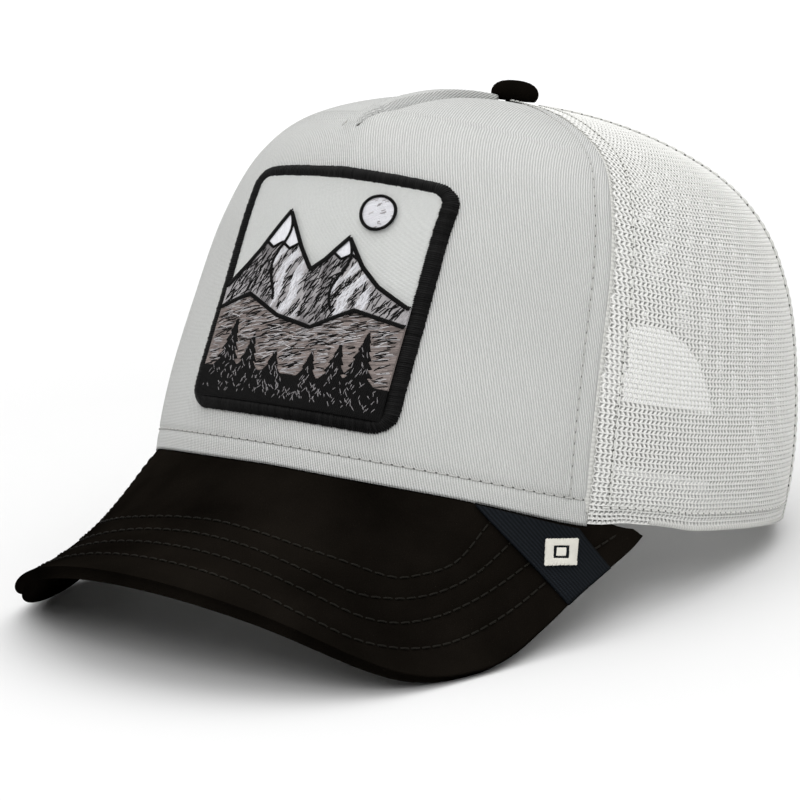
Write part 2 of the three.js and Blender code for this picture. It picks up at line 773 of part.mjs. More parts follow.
function patchGround() {
  const inset = 2 * (PATCH_BORDER + GAP);
  return roundedPlate({
    a: 0,
    b: 0,
    width: PATCH_WIDTH - inset,
    height: PATCH_HEIGHT - inset,
    corner: PATCH_CORNER - PATCH_BORDER,
    low: 0,
    high: PATCH_THICKNESS,
    columns: 10,
    straightRows: 7,
  });
}

// Points and outward directions round a rounded rectangle.
function roundedPath(width, height, corner, cornerSteps, sideSteps) {
  const path = [];
  const centres = [
    { a: width / 2 - corner, b: height / 2 - corner, from: 0 },
    { a: corner - width / 2, b: height / 2 - corner, from: 90 },
    { a: corner - width / 2, b: corner - height / 2, from: 180 },
    { a: width / 2 - corner, b: corner - height / 2, from: 270 },
  ];
  centres.forEach((centre, k) => {
    for (let i = 0; i <= cornerSteps; i++) {
      const turn = radians(centre.from + (90 * i) / cornerSteps);
      const outA = Math.cos(turn);
      const outB = Math.sin(turn);
      path.push({ a: centre.a + corner * outA, b: centre.b + corner * outB, outA, outB });
    }
    const next = centres[(k + 1) % centres.length];
    const turn = radians(centre.from + 90);
    const outA = Math.cos(turn);
    const outB = Math.sin(turn);
    for (let i = 1; i < sideSteps; i++) {
      const a = lerp(centre.a, next.a, i / sideSteps) + corner * outA;
      const b = lerp(centre.b, next.b, i / sideSteps) + corner * outB;
      path.push({ a, b, outA, outB });
    }
  });
  return path;
}

function patchBorder() {
  const half = PATCH_BORDER / 2;
  const section = [
    { out: -half, lift: 0 },
    { out: half, lift: 0 },
    { out: half, lift: BORDER_THICKNESS * 0.55 },
    { out: half * 0.55, lift: BORDER_THICKNESS },
    { out: -half * 0.55, lift: BORDER_THICKNESS },
    { out: -half, lift: BORDER_THICKNESS * 0.65 },
  ];
  const width = PATCH_WIDTH - PATCH_BORDER;
  const height = PATCH_HEIGHT - PATCH_BORDER;
  const path = roundedPath(width, height, PATCH_CORNER - half, 5, 10);
  const positions = [];
  for (const stop of path) {
    for (const { out, lift } of section) {
      const point = patchPoint(stop.a + out * stop.outA, stop.b + out * stop.outB, lift);
      positions.push(point.x, point.y, point.z);
    }
  }
  const count = section.length;
  const indices = [];
  for (let i = 0; i < path.length; i++) {
    const next = (i + 1) % path.length;
    for (let k = 0; k < count; k++) {
      const turn = (k + 1) % count;
      indices.push(i * count + k, i * count + turn, next * count + turn);
      indices.push(i * count + k, next * count + turn, next * count + k);
    }
  }
  return outwardGeometry(positions, indices);
}

// Landscape on the patch: each band of thread fills the room between two skylines.

function skylineAt(rows, a) {
  for (let k = 0; k < rows.length - 1; k++) {
    const from = rows[k];
    const to = rows[k + 1];
    if (a <= to.a) return lerp(from.b, to.b, (a - from.a) / (to.a - from.a));
  }
  return rows[rows.length - 1].b;
}

function treeLine(a) {
  let top = TREE_FLOOR;
  for (const tree of TREES) {
    const share = 1 - Math.abs(a - tree.a) / tree.halfWidth;
    top = Math.max(top, TREE_FLOOR + tree.height * share);
  }
  return top;
}

const hillLine = (a) => skylineAt(HILL_ROWS, a);
const peakLine = (a) => skylineAt(PEAK_ROWS, a);
// The mountains' top, cut back where a snow cap lies on it.
function rockLine(a) {
  const cap = SNOW_CAPS.find(({ fromA, toA }) => a > fromA - GAP && a < toA + GAP);
  return cap ? Math.min(peakLine(a), cap.floor - GAP) : peakLine(a);
}

function threadBand(fromA, toA, columns, rows, lowLine, highLine) {
  const skin = (lift) => grid(rows, columns, (u, v) => {
    const a = lerp(fromA, toA, u);
    return patchPoint(a, lerp(lowLine(a), highLine(a), v), lift);
  });
  const base = PATCH_THICKNESS + GAP;
  return outwardWall(skin(base + STITCH_THICKNESS), skin(base));
}

// Button: a domed cap on a short post with a flat back inside the crown
function button() {
  const profile = [
    { radius: 0, z: BUTTON_BACK_Z - 1.2 },
    { radius: BUTTON_RADIUS - 0.8, z: BUTTON_BACK_Z - 1.2 },
    { radius: BUTTON_RADIUS - 0.8, z: BUTTON_BACK_Z - 0.2 },
    { radius: BUTTON_POST_RADIUS, z: BUTTON_BACK_Z },
    { radius: BUTTON_POST_RADIUS, z: BUTTON_SEAT_Z + 0.4 },
    { radius: BUTTON_RADIUS * 0.86, z: BUTTON_SEAT_Z },
    { radius: BUTTON_RADIUS, z: BUTTON_SEAT_Z + BUTTON_HEIGHT * 0.26 },
    { radius: BUTTON_RADIUS * 0.98, z: BUTTON_SEAT_Z + BUTTON_HEIGHT * 0.5 },
    { radius: BUTTON_RADIUS * 0.86, z: BUTTON_SEAT_Z + BUTTON_HEIGHT * 0.75 },
    { radius: BUTTON_RADIUS * 0.55, z: BUTTON_SEAT_Z + BUTTON_HEIGHT * 0.94 },
    { radius: 0, z: BUTTON_SEAT_Z + BUTTON_HEIGHT },
  ];
  const points = profile.map(({ radius, z }) => new THREE.Vector2(radius, z));
  const geometry = new THREE.LatheGeometry(points, 20);
  geometry.rotateX(Math.PI / 2);
  geometry.translate(0, BUTTON_CENTRE_Y, 0);
  return geometry;
}

// Assembly

// Angle that tips the upright hat until its peak and the back of its rim are equally low.
function restAngle(meshes) {
  const lowest = (angle, behind) => {
    let low = Infinity;
    for (const { geometry } of meshes) {
      const place = geometry.attributes.position;
      for (let k = 0; k < place.count; k++) {
        if (place.getY(k) > 0 !== behind) continue;
        low = Math.min(low, place.getY(k) * Math.sin(angle) + place.getZ(k) * Math.cos(angle));
      }
    }
    return low;
  };
  let low = radians(-25);
  let high = 0;
  for (let i = 0; i < 40; i++) {
    const middle = (low + high) / 2;
    if (lowest(middle, false) > lowest(middle, true)) low = middle;
    else high = middle;
  }
  return low;
}

const bandEdge = PATCH_WIDTH / 2 - PATCH_BORDER - 2;
const bandColumns = 2 * bandEdge;
const groundBottom = () => PATCH_BORDER + 1.5 - PATCH_HEIGHT / 2;
const threadTop = PATCH_THICKNESS + GAP + STITCH_THICKNESS;

const trees = threadBand(-bandEdge, bandEdge, bandColumns, 1, groundBottom, treeLine);
const hills = threadBand(-bandEdge, bandEdge, bandColumns, 1, (a) => treeLine(a) + GAP, hillLine);
const mountains = threadBand(-bandEdge, bandEdge, bandColumns, 1, (a) => hillLine(a) + GAP, rockLine);
const moon = roundedPlate({
  a: MOON.a,
  b: MOON.b,
  width: MOON.size,
  height: MOON.size,
  corner: MOON.size * 0.45,
  low: PATCH_THICKNESS + GAP,
  high: threadTop,
  columns: 4,
  straightRows: 2,
});

const pieces = [
  named('front_panel', frontPanel(), MATERIALS.twill),
  named('side_panel_left', sidePanel(1), MATERIALS.net),
  named('side_panel_right', sidePanel(-1), MATERIALS.net),
  named('back_panel_left', backPanel(1), MATERIALS.net),
  named('back_panel_right', backPanel(-1), MATERIALS.net),
  named('snap_strap', snapStrap(), MATERIALS.strap),
  named('peak', peak(), MATERIALS.suede),
  named('peak_label', peakLabel(), MATERIALS.ribbon),
  named('label_motif', labelMotif(), MATERIALS.cream),
  named('button', button(), MATERIALS.suede),
  named('patch_ground', patchGround(), MATERIALS.twill),
  named('patch_border', patchBorder(), MATERIALS.blackThread),
  named('patch_trees', trees, MATERIALS.blackThread),
  named('patch_hills', hills, MATERIALS.taupeThread),
  named('patch_mountains', mountains, MATERIALS.greyThread),
  named('patch_moon', moon, MATERIALS.whiteThread),
];
for (const cap of SNOW_CAPS) {
  const columns = Math.round(cap.toA - cap.fromA);
  const snow = threadBand(cap.fromA, cap.toA, columns, 2, () => cap.floor, peakLine);
  pieces.push(named(cap.name, snow, MATERIALS.whiteThread));
}

// The upright hat is tipped to rest, then centred over the origin and set on the ground.
const tipped = new THREE.Group();
tipped.add(...pieces);
tipped.rotation.x = restAngle(pieces);
tipped.updateMatrixWorld(true);
const bounds = new THREE.Box3().setFromObject(tipped, true);
const hat = new THREE.Group();
tipped.position.set(0, -(bounds.min.y + bounds.max.y) / 2, -bounds.min.z);
hat.add(tipped);

export default hat;
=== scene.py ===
"""Trucker hat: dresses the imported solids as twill, net, suede, ribbon and thread."""

import logging
import math
from dataclasses import dataclass, field, replace
from enum import Enum
from typing import Callable, ClassVar, Sequence

import bpy
import numpy as np
from mathutils import Matrix, Vector


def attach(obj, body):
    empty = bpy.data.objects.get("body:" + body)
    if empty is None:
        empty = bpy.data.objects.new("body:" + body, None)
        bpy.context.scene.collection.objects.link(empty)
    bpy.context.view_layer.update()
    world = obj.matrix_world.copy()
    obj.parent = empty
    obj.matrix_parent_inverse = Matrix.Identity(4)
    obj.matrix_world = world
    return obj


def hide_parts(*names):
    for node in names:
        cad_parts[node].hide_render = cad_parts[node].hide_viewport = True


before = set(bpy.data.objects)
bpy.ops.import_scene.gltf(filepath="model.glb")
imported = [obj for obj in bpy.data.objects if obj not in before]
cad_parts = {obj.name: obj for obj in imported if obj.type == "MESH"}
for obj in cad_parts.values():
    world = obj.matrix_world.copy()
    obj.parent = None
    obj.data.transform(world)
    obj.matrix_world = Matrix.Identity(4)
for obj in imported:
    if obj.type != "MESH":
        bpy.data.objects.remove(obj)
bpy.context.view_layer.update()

log = logging.getLogger("trucker_hat")

MM = 0.001
TAU = 2 * math.pi

Array = np.ndarray
Piece = bpy.types.Object
Socket = bpy.types.NodeSocket


# Curves and small sums

def ease(x: Array, low: float, high: float) -> Array:
    """Smooth step from 0 at low to 1 at high."""
    t = np.clip((np.asarray(x, float) - low) / (high - low), 0, 1)
    return t * t * (3 - 2 * t)


def through_rows(rows: Array, t: Array) -> Array:
    """Smooth curve through evenly spaced rows.

    Args:
        rows: The values of one column.
        t: Places to read, from 0 to 1.

    Returns:
        The curve's value at each place.
    """
    last = len(rows) - 1
    place = np.clip(t, 0, 1) * last
    index = np.minimum(np.floor(place).astype(int), last - 1)
    f = place - index
    b, c = rows[index], rows[index + 1]
    before, after = rows[np.maximum(index - 1, 0)], rows[np.minimum(index + 2, last)]
    a = np.where(index > 0, before, 3 * b - 3 * c + after)
    d = np.where(index < last - 1, after, 3 * c - 3 * b + before)
    square, cube = 2 * a - 5 * b + 4 * c - d, 3 * b - a - 3 * c + d
    return 0.5 * (2 * b + (c - a) * f + square * f**2 + cube * f**3)


def unit(v: Array) -> Array:
    """Vectors scaled to length one."""
    return v / np.maximum(np.linalg.norm(v, axis=-1, keepdims=True), 1e-12)


def resample(points: Array, pitch: float) -> tuple[Array, Array]:
    """Even stops along a line.

    Args:
        points: The line's points, (n, k).
        pitch: Distance from stop to stop, in the points' unit of their first three columns.

    Returns:
        The stops, and the line's direction at each.
    """
    steps = np.linalg.norm(np.diff(points[:, :3], axis=0), axis=1)
    length = np.concatenate([[0], np.cumsum(steps)])
    count = max(2, int(length[-1] / pitch))
    beside = 0.2
    at = (np.arange(count) + 0.5) * length[-1] / count
    stops = np.stack([np.interp(at, length, points[:, k]) for k in range(points.shape[1])], -1)
    ahead = np.stack([np.interp(at + beside, length, points[:, k]) for k in range(3)], -1)
    behind = np.stack([np.interp(at - beside, length, points[:, k]) for k in range(3)], -1)
    return stops, unit(ahead - behind)


# The hat's form, in millimetres, upright with its front towards -Y

@dataclass(frozen=True)
class PeakForm:
    """The bent and sloping board of the peak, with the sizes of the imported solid."""

    slope: float = 0.730
    curl: float = -0.276
    root_y: float = -101.8
    root_z: float = 6.72
    half_width: float = 80
    drop_square: float = 24.0
    drop_fourth: float = 23.0
    drop_growth: float = 0.063
    stated_at: float = 60
    end_drop: float = 10.3
    end_from: float = 5
    end_to: float = 45
    centre_s: float = -20
    thickness: float = 3.3
    end_thickness: float = 1.5
    thin_from: float = 78
    thin_to: float = 103
    sweep: float = math.radians(100.83)
    outline_angles: tuple[float, ...] = (0, 25, 45, 60, 75, 90, 105)
    outline_reach: tuple[float, ...] = (82.6, 84.9, 88.3, 84.0, 79.2, 79.0, 83.4)

    def middle(self, x: Array, s: Array) -> Array:
        """Point of the board's middle surface for flat coordinates x and s.

        Args:
            x: Flat x across the peak, in mm.
            s: Flat length along the peak, in mm.

        Returns:
            Points in mm.
        """
        slope = self.slope + self.curl * s / self.stated_at
        q = x / self.half_width
        ends = self.end_drop * q**4 * ease(-s, self.end_from, self.end_to)
        growth = 1 + self.drop_growth * s / self.stated_at
        drop = (self.drop_square * q**2 + self.drop_fourth * q**4) * growth + ends
        y = self.root_y - s * np.cos(slope) + drop * np.sin(slope)
        z = self.root_z - s * np.sin(slope) - drop * np.cos(slope)
        return np.stack([x + 0 * s, y, z], -1)

    def normal(self, x: Array, s: Array) -> Array:
        """Upward normal of the board.

        Args:
            x: Flat x across the peak, in mm.
            s: Flat length along the peak, in mm.

        Returns:
            Unit vectors.
        """
        e = 0.05
        across = self.middle(x + e, s) - self.middle(x - e, s)
        ahead = self.middle(x, s + e) - self.middle(x, s - e)
        return unit(np.cross(ahead, across))

    def half(self, x: Array, s: Array) -> Array:
        """Half of the board's thickness, thinner at its ends.

        Args:
            x: Flat x across the peak, in mm.
            s: Flat length along the peak, in mm.

        Returns:
            Half thicknesses in mm.
        """
        angle = np.degrees(np.arctan2(np.abs(x), s - self.centre_s))
        share = ease(angle, self.thin_from, self.thin_to)
        return (self.thickness + (self.end_thickness - self.thickness) * share) / 2

    def skin(self, x: Array, s: Array, lift: Array) -> Array:
        """Point lifted off the middle surface."""
        return self.middle(x, s) + self.normal(x, s) * np.asarray(lift)[..., None]

    def reach(self, angle: Array) -> Array:
        """Distance of the outline from the centre at an angle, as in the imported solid.

        Args:
            angle: Angle in the flat board.

        Returns:
            Distances in mm.
        """
        a = np.array(self.outline_angles, float)
        r = np.array(self.outline_reach)
        last_slope = (r[-1] - r[-2]) / (a[-1] - a[-2])
        slope = np.concatenate([[0], (r[2:] - r[:-2]) / (a[2:] - a[:-2]), [last_slope]])
        deg = np.clip(np.degrees(np.abs(angle)), 0, a[-1])
        k = np.clip(np.searchsorted(a, deg, side="right") - 1, 0, len(a) - 2)
        span = a[k + 1] - a[k]
        f = (deg - a[k]) / span
        b1, b2 = r[k] + slope[k] * span / 3, r[k + 1] - slope[k + 1] * span / 3
        g = 1 - f
        return g**3 * r[k] + 3 * g * g * f * b1 + 3 * g * f * f * b2 + f**3 * r[k + 1]

    def flat(self, angle: Array, reach: Array) -> tuple[Array, Array]:
        """Flat coordinates x and s at an angle and a distance from the centre."""
        return reach * np.sin(angle), self.centre_s + reach * np.cos(angle)

    def top_height(self, x: Array, y: Array) -> Array:
        """Height of the board's upper face above a point of the plan.

        Args:
            x: X in mm.
            y: Y in mm.

        Returns:
            Heights in mm.
        """
        s = (self.root_y - y) / math.cos(self.slope)
        across = x.copy()
        point = self.skin(across, s, self.half(across, s))
        for _ in range(20):
            s = s + (point[..., 1] - y) / math.cos(self.slope)
            across = across + x - point[..., 0]
            point = self.skin(across, s, self.half(across, s))
        return point[..., 2]


class CrownForm:
    """The crown's outer surface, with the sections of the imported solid."""

    # front y, front z, side x, side z, back y, back z, squareness front and back
    SECTIONS = np.array([
        (-101.8, 9.8, 83.7, 0.7, 98.6, 2.2, 2.28, 2.36),
        (-97.6, 29.5, 84.1, 22.1, 102.3, 23.5, 2.28, 2.36),
        (-90.0, 55.6, 81.8, 45.3, 101.4, 47.0, 2.28, 2.36),
        (-82.4, 81.8, 77.3, 68.6, 95.7, 70.4, 2.28, 2.36),
        (-73.4, 100.4, 68.4, 88.8, 82.7, 90.6, 2.28, 2.36),
        (-59.8, 110.4, 52.8, 103.1, 62.5, 104.5, 2.28, 2.36),
        (-32.4, 116.6, 27.2, 113.3, 32.1, 114.1, 2.14, 2.36),
        (-1.3, 116.5, 0.0, 116.5, -1.3, 116.5, 2.0, 2.0),
    ])
    SEAM_DEGREES = np.array([60.6, 59.0, 58.6, 59.6, 61.4, 65.0, 63.8, 63.0])
    TOP = 0.965
    SIDE_SEAM = math.radians(122)
    BACK_CENTRE = math.radians(183.6)
    DART_START = 0.588
    DART_SHIFT = 3.8
    CREASE_RISE = 2.6
    CREASE_REACH = 9
    RIM_END = math.radians(72.03)
    RIM_GAP = 0.45
    TIP = math.radians(-11.26158)
    MOVE = (0.0, 25.17329, 16.63157)

    def __init__(self, peak: PeakForm) -> None:
        """Tabulates how far the rim moves to stand on the peak.

        Args:
            peak: The peak that the rim stands on.
        """
        self.peak = peak
        self.shift_angles = np.radians(np.arange(0, 91, 1.0))
        self.shift_lifts = np.array([-3.0, -2.0, -1.5, -1.0, -0.5, 0.0, 0.5, 1.0])
        fade_from, fade_to = self.RIM_END + math.radians(3), self.RIM_END + math.radians(14)
        over = 1 - ease(self.shift_angles, fade_from, fade_to)
        held = np.minimum(self.shift_angles, self.RIM_END)
        table = []
        for lift in self.shift_lifts:
            foot = self.base(held, 0 * held) + self.normal(held, 0 * held) * lift
            rise = peak.top_height(foot[..., 0], foot[..., 1]) + self.RIM_GAP - foot[..., 2]
            table.append(over * np.minimum(rise, 0.8 - 1.3 * lift))
        self.shift_table = np.array(table)

    def base(self, angle: Array, level: Array) -> Array:
        """Point of the plain crown at an angle round it and a level from rim to button.

        Args:
            angle: Angle round the crown.
            level: Level from rim to button.

        Returns:
            Points in mm.
        """
        angle, level = np.broadcast_arrays(np.asarray(angle, float), np.asarray(level, float))
        col = [through_rows(self.SECTIONS[:, k], level) for k in range(8)]
        c, s = np.cos(angle), np.sin(angle)
        front = c >= 0
        power = 2 / np.where(front, col[6], col[7])
        across = np.sign(s) * np.abs(s) ** power
        along = np.abs(c) ** power
        centre = self.SECTIONS[-1, 0] * ease(level, 0.8, 1)
        end_y, end_z = np.where(front, col[0], col[4]), np.where(front, col[1], col[5])
        y = centre + (end_y - centre) * along
        return np.stack([col[2] * across, y, col[3] + (end_z - col[3]) * c * c], -1)

    def normal(self, angle: Array, level: Array) -> Array:
        """Outward normal of the plain crown.

        Args:
            angle: Angle round the crown.
            level: Level from rim to button.

        Returns:
            Unit vectors.
        """
        e = 0.002
        level = np.asarray(level, float)
        high, low = np.minimum(level + e, 1), np.maximum(level - e, 0)
        turn = self.base(angle + e, level) - self.base(angle - e, level)
        up = self.base(angle, high) - self.base(angle, low)
        return unit(np.cross(turn, up))

    def rim_shift(self, angle: Array, lift: Array) -> Array:
        """How far the rim moves up or down to stand on the peak.

        Args:
            angle: Angles round the crown.
            lift: Heights off its outer surface, in mm.

        Returns:
            The moves in mm, up where positive.
        """
        turned = np.abs((np.asarray(angle) + math.pi) % TAU - math.pi)
        place = np.clip(np.degrees(turned), 0, 89.999)
        k = np.floor(place).astype(int)
        f = place - k
        lift = np.clip(np.broadcast_to(lift, place.shape), -2.999, 0.999)
        j = np.searchsorted(self.shift_lifts, lift, side="right") - 1
        g = (lift - self.shift_lifts[j]) / (self.shift_lifts[j + 1] - self.shift_lifts[j])
        table = self.shift_table
        low = table[j, k] * (1 - f) + table[j, k + 1] * f
        high = table[j + 1, k] * (1 - f) + table[j + 1, k + 1] * f
        return low * (1 - g) + high * g

    def crease(self, x: Array, level: Array) -> Array:
        """Rise of the crease below the dart, in millimetres."""
        fade = np.exp(-(((level - self.DART_START) / 0.12) ** 2))
        return self.CREASE_RISE * fade * np.exp(-np.sqrt(x * x + 0.5) / self.CREASE_REACH)

    def dart_x(self, level: Array) -> Array:
        """Place of the dart's line, which starts a little to the wearer's right."""
        return -self.DART_SHIFT * (1 - ease(level, self.DART_START, 0.71))

    def point(self, angle: Array, level: Array, lift: Array) -> Array:
        """Point of the finished crown, lifted off its outer surface.

        Args:
            angle: Angle round the crown.
            level: Level from rim to button.
            lift: Distance off the surface, in mm.

        Returns:
            Points in mm.
        """
        angle, level = np.broadcast_arrays(np.asarray(angle, float), np.asarray(level, float))
        point = self.base(angle, level)
        rise = self.crease(point[..., 0], level) * (np.cos(angle) > 0) + lift
        point = point + self.normal(angle, level) * rise[..., None]
        point[..., 2] += self.rim_shift(angle, lift) * np.maximum(0, 1 - level / 0.12) ** 2
        return point

    def seam(self, level: Array) -> Array:
        """Angle of the front seam at a level."""
        return np.radians(through_rows(self.SEAM_DEGREES, level))

    def angle_step(self, angle: Array, level: Array) -> Array:
        """Millimetres round the crown for each radian of its angle."""
        e = 0.002
        return np.linalg.norm(self.base(angle + e, level) - self.base(angle - e, level), axis=-1) / (2 * e)

    def front_angle(self, x: Array, level: Array) -> Array:
        """Angle at which the front of the crown has that x.

        Args:
            x: Places across, in mm.
            level: Levels of the crown.

        Returns:
            The angles.
        """
        side = through_rows(self.SECTIONS[:, 2], level)
        square = through_rows(self.SECTIONS[:, 6], level)
        return np.sign(x) * np.arcsin(np.clip((np.abs(x) / side) ** (square / 2), 0, 1))

    def place(self, points: Array) -> Array:
        """Upright millimetres to the frame's metres."""
        return (self.turn(points) + np.array(self.MOVE)) * MM

    def turn(self, vectors: Array) -> Array:
        """Upright directions to the frame's directions.

        Args:
            vectors: Directions with the hat upright.

        Returns:
            The same with the hat at rest.
        """
        c, s = math.cos(self.TIP), math.sin(self.TIP)
        x, y, z = vectors[..., 0], vectors[..., 1], vectors[..., 2]
        return np.stack([x, y * c - z * s, y * s + z * c], -1)


# Meshes

def make_piece(name: str, points: Array, faces: Array, uv: Array | None = None,
               smooth: bool = True, tone: Array | None = None) -> Piece:
    """A mesh object from arrays.

    Args:
        name: The piece's name.
        points: Its points in metres, (n, 3).
        faces: Corners of its faces, (m, 3) or (m, 4).
        uv: One flat coordinate for each point, in mm.
        smooth: Whether its faces are shaded smooth.
        tone: One tone for each point.

    Returns:
        The new object, linked to the scene.
    """
    mesh = bpy.data.meshes.new(name)
    corners = faces.shape[1]
    mesh.vertices.add(len(points))
    mesh.vertices.foreach_set("co", points.astype(np.float32).ravel())
    mesh.loops.add(faces.size)
    mesh.loops.foreach_set("vertex_index", faces.astype(np.int32).ravel())
    mesh.polygons.add(len(faces))
    mesh.polygons.foreach_set("loop_start", np.arange(0, faces.size, corners, dtype=np.int32))
    mesh.polygons.foreach_set("use_smooth", np.full(len(faces), smooth))
    if uv is not None:
        layer = mesh.uv_layers.new(name="cloth")
        layer.data.foreach_set("uv", uv[faces.ravel()].astype(np.float32).ravel())
    if tone is not None:
        mesh.attributes.new("tone", "FLOAT", "POINT").data.foreach_set("value", tone.astype(np.float32))
    mesh.update(calc_edges=True)
    mesh.validate()
    obj = bpy.data.objects.new(name, mesh)
    bpy.context.scene.collection.objects.link(obj)
    return obj


def wall_faces(rows: int, columns: int) -> Array:
    """Faces of a closed wall between two grids, the outer one first.

    Args:
        rows: Rows of points in each grid.
        columns: Columns of points in each grid.

    Returns:
        Corners of its four-sided faces.
    """
    j, i = np.meshgrid(np.arange(rows - 1), np.arange(columns - 1), indexing="ij")
    a = (j * columns + i).ravel()
    n = rows * columns
    skin = np.stack([a, a + 1, a + columns + 1, a + columns], -1)
    back = n + skin[:, ::-1]
    c, r = np.arange(columns - 1), np.arange(rows - 1) * columns
    low = np.stack([c + 1, c, n + c, n + c + 1], -1)
    t = (rows - 1) * columns + c
    high = np.stack([t, t + 1, n + t + 1, n + t], -1)
    left = np.stack([r, r + columns, n + r + columns, n + r], -1)
    e = r + columns - 1
    right = np.stack([e + columns, e, n + e, n + e + columns], -1)
    return np.concatenate([skin, back, low, high, left, right])


def tube_faces(stops: int, sides: int, closed: bool) -> Array:
    """Faces round a row of loops, each of the same number of points.

    Args:
        stops: Number of loops.
        sides: Points in each loop.
        closed: Whether the last loop joins the first.

    Returns:
        Corners of its four-sided faces.
    """
    last = stops if closed else stops - 1
    i, k = np.meshgrid(np.arange(last), np.arange(sides), indexing="ij")
    here, ahead = i.ravel() * sides, (i.ravel() + 1) % stops * sides
    low, high = k.ravel(), (k.ravel() + 1) % sides
    return np.stack([here + low, here + high, ahead + high, ahead + low], -1)


def face_outward(obj: Piece) -> None:
    """Turns a closed mesh's faces round if its volume comes out negative.

    Args:
        obj: The closed mesh.
    """
    mesh = obj.data
    mesh.calc_loop_triangles()
    co = np.array([v.co for v in mesh.vertices])
    tri = np.array([t.vertices for t in mesh.loop_triangles])
    a, b, c = co[tri[:, 0]], co[tri[:, 1]], co[tri[:, 2]]
    if np.einsum("ij,ij->i", a, np.cross(b, c)).sum() < 0:
        mesh.flip_normals()


def make_wall(name: str, form: CrownForm, outer: Array, inner: Array, uv: Array | None = None) -> Piece:
    """A closed wall between two grids of points.

    Args:
        name: The piece's name.
        form: The crown, which carries the points to the frame.
        outer: The outer grid in upright millimetres, (rows, columns, 3).
        inner: The inner grid.
        uv: Flat coordinates of a grid's places, in mm.

    Returns:
        The new piece, its faces pointing out.
    """
    points = np.concatenate([outer.reshape(-1, 3), inner.reshape(-1, 3)])
    both = None if uv is None else np.tile(uv.reshape(-1, 2), (2, 1))
    obj = make_piece(name, form.place(points), wall_faces(*outer.shape[:2]), both)
    face_outward(obj)
    return obj


def make_loops(name: str, form: CrownForm, loops: Array, closed: bool = False,
               uv: Array | None = None) -> Piece:
    """A skin over a row of loops.

    Args:
        name: The piece's name.
        form: The crown, which carries the points to the frame.
        loops: The loops in upright millimetres, (loops, sides, 3).
        closed: Whether the last loop joins the first.
        uv: One flat coordinate for each point, in mm.

    Returns:
        The new piece, its faces pointing out.
    """
    obj = make_piece(name, form.place(loops.reshape(-1, 3)), tube_faces(*loops.shape[:2], closed), uv)
    face_outward(obj)
    return obj


def settle(obj: Piece, slot: str, material: bpy.types.Material | None = None,
           nodes: Sequence[str] = ()) -> Piece:
    """Gives a finished piece its material and ties it to the frame.

    Args:
        obj: The piece.
        slot: The record's material slot; not used.
        material: Its material, or None where the mesh has one already.
        nodes: The solids that it stands for.

    Returns:
        The piece.
    """
    if material is not None:
        obj.data.materials.clear()
        obj.data.materials.append(material)
    if nodes:
        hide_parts(*nodes)
    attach(obj, "root")
    obj.data.calc_loop_triangles()
    log.info("%s: %d triangles", obj.name, len(obj.data.loop_triangles))
    return obj


# Finishes

class Nodes:
    """A small helper that places and joins shader nodes in one tree."""

    def __init__(self, tree: bpy.types.NodeTree) -> None:
        """Keeps the tree that the nodes go in."""
        self.tree = tree

    def add(self, kind: str, inputs: dict[str | int, object] | None = None,
            **settings: object) -> bpy.types.Node:
        """Adds a node.

        Args:
            kind: The node's type name.
            inputs: Values or sockets for its inputs, by name or number.
            settings: Values for the node's own settings.

        Returns:
            The node.
        """
        node = self.tree.nodes.new(kind)
        for key, value in settings.items():
            setattr(node, key, value)
        for key, value in (inputs or {}).items():
            socket = node.inputs[key]
            if isinstance(value, Socket):
                self.tree.links.new(value, socket)
            else:
                socket.default_value = value
        return node

    def math(self, operation: str, a: object, b: object = 0.0) -> Socket:
        """The result of one sum."""
        return self.add("ShaderNodeMath", {0: a, 1: b}, operation=operation).outputs[0]

    def remap(self, value: object, low: float, high: float, to_low: float,
              to_high: float) -> Socket:
        """A value moved from one range to another."""
        found = {"Value": value, "From Min": low, "From Max": high, "To Min": to_low, "To Max": to_high}
        return self.add("ShaderNodeMapRange", found).outputs["Result"]

    def tint(self, share: object, dark: Sequence[float], light: Sequence[float]) -> Socket:
        """A colour between two, by a share from 0 to 1.

        Args:
            share: Socket or number from 0 to 1.
            dark: Colour at 0.
            light: Colour at 1.

        Returns:
            The colour's socket.
        """
        node = self.add("ShaderNodeMix", data_type="RGBA")
        node.inputs[6].default_value = (*dark, 1)
        node.inputs[7].default_value = (*light, 1)
        self.tree.links.new(share, node.inputs[0])
        return node.outputs[2]


def start_material(name: str, inputs: dict[str, float]) -> tuple[bpy.types.Material, Nodes, bpy.types.Node]:
    """A material with one shader joined to its output.

    Args:
        name: The material's name.
        inputs: Values for the shader's inputs.

    Returns:
        The material, its nodes and its shader.
    """
    mat = bpy.data.materials.new(name)
    mat.use_nodes = True
    mat.node_tree.nodes.clear()
    n = Nodes(mat.node_tree)
    shader = n.add("ShaderNodeBsdfPrincipled", inputs)
    n.tree.links.new(shader.outputs[0], n.add("ShaderNodeOutputMaterial").inputs[0])
    return mat, n, shader


class Effect(Enum):
    """The surface effects that several finishes share."""

    RIBS = "cloth_ribs"
    GRAIN = "fibre_grain"


